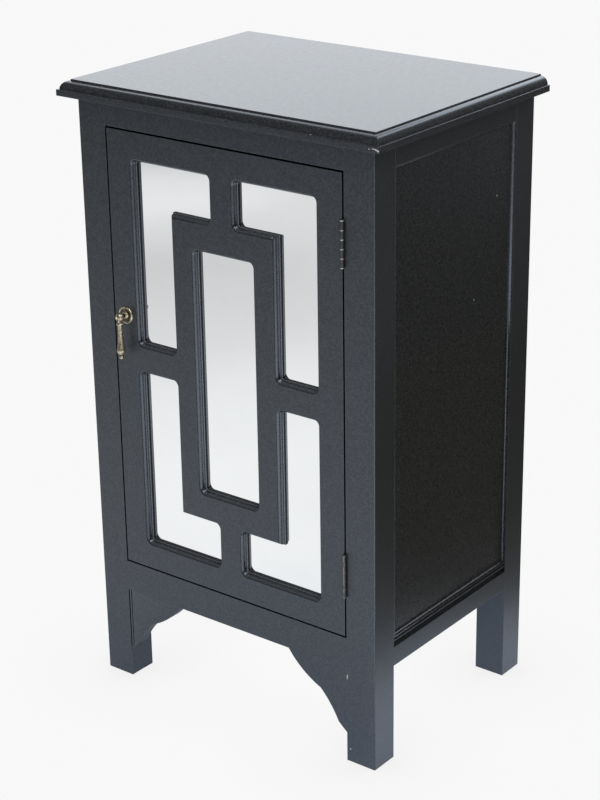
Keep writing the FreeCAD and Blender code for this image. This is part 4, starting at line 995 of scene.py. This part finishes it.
# Radius of the windows' round corners, and what it loses with each millimetre inwards
WINDOW_RADIUS, RADIUS_LOSS = 8.4, 1.25


def window_corners(grow):
    """Corners of the five windows from the door's centre, and whether each is round."""
    out, up = MIDDLE_OUT + grow, MIDDLE_UP + grow
    windows = [[(-out, -up, 1), (out, -up, 1), (out, up, 1), (-out, up, 1)]]
    bridge, cross = BRIDGE_HALF - grow, CROSS_BRIDGE_HALF - grow
    far_out, far_up = OUTER_OUT + grow, OUTER_UP + grow
    near_out, near_up = INNER_OUT - grow, INNER_UP - grow
    ell = [
        (bridge, near_up, 1),
        (bridge, far_up, 1),
        (far_out, far_up, 1),
        (far_out, cross, 1),
        (near_out, cross, 1),
        (near_out, near_up, 0),
    ]
    for x_sign in (-1, 1):
        for z_sign in (-1, 1):
            windows.append([(x_sign * x, z_sign * z, round_) for x, z, round_ in ell])
    return windows


def sticking():
    """Offset into the window, and depth, along the moulded edge from front to glass."""
    profile = [(-STEP_BACK, 0), (-0.82, 0.06), (-0.75, 0.2), (-0.75, STEP_DEPTH), (-0.3, 1.12)]
    for k in range(1, 11):
        turn = (0.12 + 0.88 * k / 10) * math.pi / 2
        into = ROUND_WIDE * math.sin(turn) ** 1.15 + ROUND_START
        profile.append((into, LIP_DEPTH - ROUND_DEEP * math.cos(turn) ** 0.85))
    lip = LIP_OUT - LIP_ARRIS
    for turn in quarter(3):
        into = lip + LIP_ARRIS * math.sin(turn)
        profile.append((into, LIP_DEPTH + LIP_ARRIS * (1 - math.cos(turn))))
    profile.append((LIP_OUT, GLASS_DEPTH))
    return profile


def fill(work, rings, normal):
    """Closes the flat area between rings of vertices."""
    edges = []
    for ring in rings:
        for i, vert in enumerate(ring):
            pair = (vert, ring[(i + 1) % len(ring)])
            edges.append(work.edges.get(pair) or work.edges.new(pair))
    bmesh.ops.triangle_fill(work, edges=edges, use_beauty=True, normal=normal)


def door_lattice():
    """One board with five windows, a moulded edge round each, and a rebate behind."""
    middle = [(low + high) / 2 for low, high in (DOOR_X, DOOR_Z)]
    half = [(high - low) / 2 for low, high in (DOOR_X, DOOR_Z)]
    front, thickness = DOOR_Y[0], DOOR_Y[1] - DOOR_Y[0]
    work = bmesh.new()

    def ring(line, depth):
        places = [(middle[0] + a, front + depth, middle[1] + b) for a, b in line]
        return [work.verts.new([c * MM for c in place]) for place in places]

    def row(rings):
        for low, high in zip(rings, rings[1:]):
            for i in range(len(low)):
                j = (i + 1) % len(low)
                work.faces.new((low[i], low[j], high[j], high[i]))

    def centred(out, up):
        return rectangle((-out, out), (-up, up))

    corners = inset(centred(*half), DOOR_PLAY)
    corner_radius, corner_steps = 0.3, 2
    edge = []
    for turn in quarter(4):
        line = inset(corners, DOOR_ARRIS * (1 - math.sin(turn)))
        line = soften(line, corner_radius, corner_steps)
        edge.append(ring(line, DOOR_ARRIS * (1 - math.cos(turn))))
    edge.append(ring(soften(corners, corner_radius, corner_steps), thickness))
    row(edge)
    rebate = centred(OUTER_OUT + REBATE_LAP, OUTER_UP + REBATE_LAP)
    rebate_floor, rebate_back = ring(rebate, GLASS_DEPTH), ring(rebate, thickness)
    row([rebate_floor, rebate_back])
    openings = []
    for number in range(5):
        rings = []
        for offset, depth in sticking():
            corners = window_corners(-offset)[number]
            radii = [(WINDOW_RADIUS - RADIUS_LOSS * offset) * round_ for _, _, round_ in corners]
            line = soften([(a + WINDOW_SHIFT, b) for a, b, _ in corners], radii, 8)
            rings.append(ring(line, depth))
        row(rings)
        openings.append(rings)
    fill(work, [edge[0]] + [rings[0] for rings in openings], (0, -1, 0))
    fill(work, [rebate_floor] + [rings[-1] for rings in openings], (0, 1, 0))
    fill(work, [edge[-1], rebate_back], (0, 1, 0))
    bmesh.ops.recalc_face_normals(work, faces=work.faces)
    made = meshed("wood_door_lattice", work, crease=40)
    shade(made)
    return hang(made, "door", ("door_lattice",), PAINT_DOOR)


# Pull


ROSE_X, ROSE_Y, ROSE_Z = span("pull_rosette")
PULL_X, PULL_Z = sum(ROSE_X) / 2, sum(ROSE_Z) / 2
PIN_X, PIN_Y, _ = span("pull_pivot_pin")
BALL_Y = sum(PIN_Y) / 2
BOSS_HEIGHT, BOLT_RADIUS, NECK_RADIUS, BALL_RADIUS = 3.4, 2, 2.4, 5.5
PIN_RADIUS, TONGUE_HALF = 1, 1.5


def brass(node, shape, body="door", cuts=()):
    """A turned brass piece in place of a CAD node."""
    made = solid(f"metal_{node}", shape, crease=32)
    carve(made, cuts)
    return hang(made, body, (node,), PULL_BRASS)


def rosette():
    """The round backplate, from the bolt hole over its boss, dish and rim to the door."""
    rise = [(2.2, 0), (2.2, BOSS_HEIGHT), (4.0, BOSS_HEIGHT), (4.4, 3.1)]
    rise += [(4.7, 2.4), (5.1, 1.75), (5.8, 1.25), (8.0, 1.15)]
    rise += bow((8.4, 1.25), (10, 2.2), 1.9, -1, 5) + bow((10, 2.2), (11.4, 1.0), 1.9, -1, 6)
    rise += [(11.5, 0.7), (11.5, 0)]
    profile = [(radius, ROSE_Y[1] - up) for radius, up in rise]
    brass("pull_rosette", turned(Shape(), profile, "y", (PULL_X, 0, PULL_Z), 96, True))


def slotted_post():
    """The bolt through the door, its collar, and a ball slotted for the drop's tongue."""
    back = span("pull_post")[1][1]
    boss = ROSE_Y[1] - BOSS_HEIGHT
    profile = [(0, back), (1.6, back), (BOLT_RADIUS, back - 0.4), (BOLT_RADIUS, boss)]
    profile += [(3.3, boss), (3.6, boss - 0.3), (3.6, boss - 0.7), (3.3, boss - 1)]
    profile.append((NECK_RADIUS, boss - 1.1))
    start = math.asin(NECK_RADIUS / BALL_RADIUS)
    for k in range(25):
        turn = start + (math.pi - start) * k / 24
        profile.append((BALL_RADIUS * math.sin(turn), BALL_Y + BALL_RADIUS * math.cos(turn)))
    past, back_wall, play = 9, 3.7, 0.3
    opening = rectangle((BALL_Y - past, BALL_Y + back_wall), (PULL_Z - past, PULL_Z + back_wall))
    half = TONGUE_HALF + play
    slot = board(Shape(), opening, "x", PULL_X - half, PULL_X + half, (0, 0))
    post = turned(Shape(), profile, "y", (PULL_X, 0, PULL_Z))
    brass("pull_post", post, cuts=[slot])


def pivot_pin():
    """The pin that the drop swings on, its ends eased."""
    start, end = PIN_X
    profile = [(0, start), (0.7, start), (0.95, start + 0.25), (PIN_RADIUS, start + 0.5)]
    profile += [(radius, start + end - x) for radius, x in reversed(profile)]
    brass("pull_pivot_pin", turned(Shape(), profile, "x", (0, BALL_Y, PULL_Z), 32))


def drop():
    """The hanging drop: finial, belly and throat under a collar, and a tongue with an eye."""
    profile = [(0, -56.0)] + bow((0, -56.0), (1.8, -50.6), 3, 1, 14)
    profile += [(1.55, -50.4), (2, -50.2)]
    profile += bow((2, -50.2), (5.2, -42), 7, 1, 12)
    profile += bow((5.2, -42), (3.1, -11.6), 110, -1, 24)
    profile += [(3.12, -11.2), (3.3, -10.7), (3.5, -10.4)]
    profile += bow((3.5, -10.4), (3.5, -7.4), 1.7, 1, 8)
    profile += [(2.6, -7.3), (0, -7.3)]
    shape = turned(Shape(), profile, "z", (PULL_X, BALL_Y, PULL_Z))
    tongue, eye_radius = 2.4, 2.9
    eye = [(tongue, -7.6), (tongue, -1.5)]
    for k in range(13):
        turn = math.radians(-30 + 240 * k / 12)
        eye.append((eye_radius * math.cos(turn), eye_radius * math.sin(turn)))
    eye += [(-tongue, -1.5), (-tongue, -7.6)]
    outline = [(BALL_Y + a, PULL_Z + b) for a, b in eye]
    board(shape, outline, "x", PULL_X - TONGUE_HALF, PULL_X + TONGUE_HALF, (0.25, 0.25), 2)
    brass("pull_pendant", shape, "pull_pendant")


# Fasteners

# Sizes of a raised screw, a flush screw and a nail, in millimetres; a nail has no slot
HEAD_SIZES = (
    "Head Radius", "Head Height", "Dome", "Shank Radius", "Slot Width", "Slot Depth"
)
RAISED = (2.9, 0.9, 0.7, 1.4, 0.8, 0.9)
FLUSH = (2.2, 0.42, 0.06, 1.3, 0.6, 0.3)
NAIL = (2.0, 0.35, 0.22, 0.8, 0.1, 0)


class Recipe(Graph):
    """A geometry node tree with named inputs."""

    def __init__(self, name, inputs):
        tree = bpy.data.node_groups.new(name, "GeometryNodeTree")
        super().__init__(tree)
        tree.interface.new_socket("Geometry", in_out="INPUT", socket_type="NodeSocketGeometry")
        self.keys = {}
        for title, kind in inputs:
            socket = tree.interface.new_socket(title, in_out="INPUT", socket_type=kind)
            self.keys[title] = socket.identifier
        tree.interface.new_socket("Geometry", in_out="OUTPUT", socket_type="NodeSocketGeometry")
        self.given = self.node("NodeGroupInput").socket.node

    def value(self, title):
        return Link(self, self.given.outputs[title])

    def vector(self, x=0.0, y=0.0, z=0.0):
        return self.node("ShaderNodeCombineXYZ", {}, {0: x, 1: y, 2: z})

    def moved(self, geometry, **place):
        """A geometry moved by a vector."""
        sockets = {"Geometry": geometry, "Translation": self.vector(**place)}
        return self.node("GeometryNodeTransform", {}, sockets)

    def rod(self, vertices, radius, depth, **more):
        """An upright cylinder about the origin."""
        sockets = {"Vertices": vertices, "Radius": radius, "Depth": depth, **more}
        return self.node("GeometryNodeMeshCylinder", {"fill_type": "TRIANGLE_FAN"}, sockets)

    def choose(self, needed, made, otherwise=None):
        """One geometry where it is needed, or else another or nothing."""
        sockets = {"Switch": needed, "True": made}
        if otherwise:
            sockets["False"] = otherwise
        return self.node("GeometryNodeSwitch", {"input_type": "GEOMETRY"}, sockets)


def fastener_recipe():
    """A screw or nail with a domed head and a slot, a cross or neither, set on every point."""
    inputs = [(title, "NodeSocketFloat") for title in (*HEAD_SIZES, "Length")]
    inputs += [("Cross", "NodeSocketBool"), ("Seed", "NodeSocketInt")]
    recipe = Recipe("driven_fastener", inputs + [("Finish", "NodeSocketMaterial")])
    radius, height, dome, shank_radius, width, depth = (recipe.value(t) for t in HEAD_SIZES)
    head = recipe.rod(28, radius, height, **{"Fill Segments": 4})
    place = recipe.node("GeometryNodeInputPosition")
    x, y, z = (recipe.node("ShaderNodeSeparateXYZ", {}, {0: place}, output=i) for i in range(3))
    away = (x * x + y * y) * (1.0 / MM) * (1.0 / MM)
    rim = radius * (1.0 / MM)
    share = away.math("DIVIDE", away, rim * rim)
    upper = z.math("GREATER_THAN", z, 0.0)
    lift = recipe.vector(z=(1.0 - share) * dome * upper)
    head = recipe.node("GeometryNodeSetPosition", {}, {"Geometry": head, "Offset": lift})
    head = recipe.moved(head, z=height * 0.5)
    top = height + dome
    slot_length_share = 1.36
    wide = radius * slot_length_share

    def cutter(along, across):
        size = recipe.vector(along, across, depth * 2.0)
        return recipe.moved(recipe.node("GeometryNodeMeshCube", {}, {"Size": size}), z=top)

    cutters = [cutter(wide, width), recipe.choose(recipe.value("Cross"), cutter(width, wide))]
    sockets = {"Mesh 1": head, "Mesh 2": cutters}
    cut = recipe.node("GeometryNodeMeshBoolean", {"operation": "DIFFERENCE"}, sockets)
    head = recipe.choose(depth.math("GREATER_THAN", depth, 0.0), cut, head)
    length = recipe.value("Length")
    bite = 0.1 * MM
    shank = recipe.moved(recipe.rod(14, shank_radius, length), z=length * -0.5 + bite)
    whole = recipe.node("GeometryNodeJoinGeometry", {}, {"Geometry": [shank, head]})
    way = recipe.node(
        "GeometryNodeInputNamedAttribute", {"data_type": "FLOAT_VECTOR"}, {"Name": "way"}
    )
    aim = recipe.node("FunctionNodeAlignRotationToVector", {"axis": "Z"}, {"Vector": way})
    half_turn = 3.1
    spin = recipe.node(
        "FunctionNodeRandomValue",
        {"data_type": "FLOAT"},
        {2: 0.0, 3: half_turn, "Seed": recipe.value("Seed")},
        output=1,
    )
    about = {"Axis": (0, 0, 1), "Angle": spin}
    turn = recipe.node("FunctionNodeAxisAngleToRotation", {}, about)
    rotations = {"Rotation": aim, "Rotate By": turn}
    facing = recipe.node(
        "FunctionNodeRotateRotation", {"rotation_space": "LOCAL"}, rotations
    )
    placing = {"Points": recipe.value("Geometry"), "Instance": whole, "Rotation": facing}
    set_on = recipe.node("GeometryNodeInstanceOnPoints", {}, placing)
    real = recipe.node("GeometryNodeRealizeInstances", {}, {"Geometry": set_on})
    coat = {"Geometry": real, "Material": recipe.value("Finish")}
    recipe.node("NodeGroupOutput", {}, {0: recipe.node("GeometryNodeSetMaterial", {}, coat)})
    return recipe


FASTENER = fastener_recipe()


def fasteners(node, body, way, sizes, seed):
    """One screw or nail in place of each solid of a CAD node; raised heads have a cross."""
    axis = max(range(3), key=lambda i: abs(way[i]))
    head = sizes[1] + sizes[2]
    tip_play = 0.3
    points = []
    for box in islands(node):
        low, high = box[axis]
        length = high - low - head - tip_play
        at = [(a + b) / 2 for a, b in box]
        at[axis] = (high if way[axis] > 0 else low) - way[axis] * head
        points.append([c * MM for c in at])
    mesh = bpy.data.meshes.new(f"metal_{node}")
    mesh.from_pydata(points, [], [])
    ways = mesh.attributes.new("way", "FLOAT_VECTOR", "POINT")
    ways.data.foreach_set("vector", [float(c) for _ in points for c in way])
    made = linked(f"metal_{node}", mesh)
    set_out = made.modifiers.new("fasteners", "NODES")
    set_out.node_group = FASTENER.tree
    values = {title: size * MM for title, size in zip(HEAD_SIZES, sizes)}
    values.update({"Length": length * MM, "Cross": sizes is RAISED, "Seed": seed})
    for title, value in {**values, "Finish": ZINC}.items():
        set_out[FASTENER.keys[title]] = value
    settle(made)
    way_left = made.data.attributes.get("way")
    if way_left:
        made.data.attributes.remove(way_left)
    return hang(made, body, (node,), ZINC)


def build_fasteners():
    """All screws and nails."""
    fasteners("back_nails", "cabinet", (0, 1, 0), NAIL, seed=2)
    fasteners("top_screws", "cabinet", (0, 0, -1), RAISED, seed=3)
    fasteners("catch_screws", "cabinet", (1, 0, 0), RAISED, seed=4)
    fasteners("clip_screws", "door", (0, 1, 0), RAISED, seed=5)
    fasteners("strike_screws", "door", (0, 1, 0), FLUSH, seed=6)
    fasteners("hinge_door_screws", "door", (1, 0, 0), FLUSH, seed=7)
    fasteners("hinge_frame_screws", "cabinet", (-1, 0, 0), FLUSH, seed=8)


# Carried-over pieces


def carry_over():
    """CAD nodes whose own shape is right get the finish they need."""
    finishes = {
        GLASS: ["mirror"],
        HARDBOARD: ["mirror_backing"],
        BEECH: ["rail_dowels"],
        PLASTIC: ["catch_body"],
        MAGNET: ["catch_magnet"],
        ZINC: ["strike_plate", "mirror_clips", "pull_washer", "pull_nut"],
        UPPER_HINGE: ["upper_hinge_frame_leaf", "upper_hinge_door_leaf", "upper_hinge_pin"],
        LOWER_HINGE: ["lower_hinge_frame_leaf", "lower_hinge_door_leaf", "lower_hinge_pin"],
    }
    for finish, names in finishes.items():
        for name in names:
            materials = nodes[name].data.materials
            if not materials:
                materials.append(finish)
            for i in range(len(materials)):
                materials[i] = finish


# Stage


# Strength at which a surface that only the camera sees renders near white
PALE = 0.942


def ray_kinds(look):
    """Masks of the rays that come from the camera and from glossy surfaces."""
    kinds = ("Is Camera Ray", "Is Glossy Ray")
    return [look.node("ShaderNodeLightPath", output=kind) for kind in kinds]


def glow(look, colour, strength):
    """Light of its own."""
    return look.node("ShaderNodeEmission", {}, {"Color": colour, "Strength": strength})


def stage_piece(name, points, faces, look, shader):
    """A mesh that is part of the studio, not of the cabinet."""
    mesh = bpy.data.meshes.new(name)
    mesh.from_pydata(points, [], faces)
    mesh.materials.append(look.end(shader))
    piece = linked(name, mesh)
    return piece


def stage_floor():
    """A wide pale floor that looks white with a painted soft shadow, and that glows in gloss with
    painted light that dims far away.
    """
    look = Finish("studio_floor")
    contact = look.openness(0.16, 8)
    under = look.openness(0.5, 4)
    # Painted shadow: the camera sees a glow that is dimmer where occlusion is high.
    seen = glow(look, (1, 1, 1, 1), PALE * (0.84 + contact * 0.16))
    away = look.node(
        "ShaderNodeVectorMath", {"operation": "LENGTH"}, {0: look.place}, output="Value"
    )
    greys = [(0.0, 0.58), (0.24, 0.61), (0.43, 0.48), (0.55, 0.46), (0.66, 0.52), (0.76, 0.2)]
    greys.append((0.9, 0.03))
    ramp_reach = 4
    sweep = look.node("ShaderNodeValToRGB", {"stops": greys}, {0: away * (1 / ramp_reach)})
    cloud = look.noise(look.place, 1.3, 2.0)
    # In gloss the floor glows with painted light: pools, a dim dip, a bright patch beside the
    # cabinet, and painted shade behind it.
    pool = look.near(look.place, (1150, -950, 0), 1350)
    far_pool = look.near(look.place, (-1750, -2000, 0), 420)
    dip = look.near(look.place, (-1160, -1330, 0), 520)
    beside = look.near(look.place, (300, 60, 0), 330)
    behind = look.near(look.place, (1350, 1350, 0), 1650)
    strength = (sweep * 2.0 + pool * 2.0 + far_pool * 0.12 - dip * 0.1) * (0.92 + cloud * 0.16)
    # Painted shade under and around the cabinet in reflections, from occlusion.
    strength = strength * (0.6 + under * 0.4) * (1.0 - behind * 0.95) + beside * 0.42
    tone = look.blend(look.ease(away, 0.2, 0.62), (0.83, 0.92, 1.05), (0.985, 0.995, 1.0))
    mirrored = glow(look, tone, strength)
    plain = look.node("ShaderNodeBsdfDiffuse", {}, {"Color": (0.8, 0.8, 0.8, 1)})
    camera_ray, glossy_ray = ray_kinds(look)
    mixed = look.node("ShaderNodeMixShader", {}, {0: glossy_ray, 1: plain, 2: mirrored})
    mixed = look.node("ShaderNodeMixShader", {}, {0: camera_ray, 1: mixed, 2: seen})
    reach = 30.0
    corners = [(x, y, 0) for x, y in rectangle((-reach, reach), (-reach, reach))]
    stage_piece("studio_floor", corners, [(0, 1, 2, 3)], look, mixed)


def stage_card():
    """A low dark card beside the cabinet that only reflections see; its faint glow paints shade
    into the reflections on the cabinet's side.
    """
    look = Finish("dark_card")
    foot = [(0.33, -0.16, 0.062), (0.325, 0.06, 0.056), (0.315, 0.18, 0.044), (0.305, 0.28, 0.028)]
    foot.append((0.36, 1.1, 0.01))
    top = 0.46
    head = [(x, y, top) for x, y, _ in foot]
    count = len(foot)
    sides = [(i, i + 1, i + 1 + count, i + count) for i in range(count - 1)]
    shader = glow(look, (0.97, 0.95, 0.72, 1), 0.066)
    card = stage_piece("dark_card", foot + head, sides, look, shader)
    card.visible_camera = False
    card.visible_diffuse = False
    card.visible_shadow = False
    card.visible_transmission = False


def studio_world():
    """Near-white to the camera; in gloss dim, with a bright band behind and three windows."""
    world = bpy.data.worlds.new("studio")
    scene.world = world
    world.use_nodes = True
    look = Graph(world.node_tree)
    way = look.node("ShaderNodeTexCoord", output="Generated")

    def towards(direction, width, strength):
        """Light from a direction, fading to nothing at a width in degrees."""
        facing = look.dot(way, Vector(direction).normalized())
        return look.ease(facing, math.cos(math.radians(width)), 1.0) * strength

    gloss = 0.22 + towards((-0.62, 0.76, 0.25), 62, 1.72) + towards((-0.16, 0.78, 0.6), 20, 2.2)
    gloss = gloss + towards((0.17, 0.62, 0.77), 14, 4.4) + towards((0.42, -0.30, 0.86), 14, 12)
    camera_ray, glossy_ray = ray_kinds(look)
    other_ray = 1.0 - camera_ray - glossy_ray
    strength = camera_ray * PALE + glossy_ray * gloss + other_ray * 0.78
    tint = look.blend(camera_ray, (0.94, 0.97, 1.0), (1, 1, 1))
    background = look.node("ShaderNodeBackground", {}, {"Color": tint, "Strength": strength})
    look.node("ShaderNodeOutputWorld", {}, {"Surface": background})


def soft_box(name, place, aim, size, radiance):
    """An area lamp of the given radiance."""
    lamp = bpy.data.lights.new(name, "AREA")
    lamp.shape = "RECTANGLE"
    lamp.size, lamp.size_y = size
    lamp.energy = radiance * math.pi * size[0] * size[1]
    lamp.color = (0.97, 0.985, 1.0)
    made = linked(name, lamp)
    made.location = place
    made.rotation_mode = "QUATERNION"
    made.rotation_quaternion = (Vector(aim) - Vector(place)).to_track_quat("-Z", "Y")


def photo_camera():
    """The camera where the photograph was taken from, in metres and degrees."""
    place = Vector((1.47635, -1.90056, 1.36311))
    yaw, pitch, roll = (math.radians(a) for a in (-38.04, -21.98, -0.90))
    forward = Vector(
        (math.sin(yaw) * math.cos(pitch), math.cos(yaw) * math.cos(pitch), math.sin(pitch))
    )
    right = forward.cross(Vector((0, 0, 1))).normalized()
    up = right.cross(forward)
    turned_right = right * math.cos(roll) + up * math.sin(roll)
    turned_up = up * math.cos(roll) - right * math.sin(roll)
    data = bpy.data.cameras.new("photo_camera")
    data.sensor_width = 36.0
    data.lens = 90.61
    data.clip_start, data.clip_end = 0.05, 200.0
    camera = linked("photo_camera", data)
    turn = Matrix((turned_right, turned_up, -forward)).transposed()
    camera.matrix_world = Matrix.Translation(place) @ turn.to_4x4()
    scene.camera = camera


build_carcass()
door_lattice()
rosette()
slotted_post()
pivot_pin()
drop()
build_fasteners()
carry_over()
stage_floor()
stage_card()
studio_world()
soft_box("key_box", place=(1.45, -1.05, 2.1), aim=(0, 0, 0.45), size=(0.9, 1.2), radiance=4.5)
photo_camera()
scene.view_settings.view_transform = "Standard"
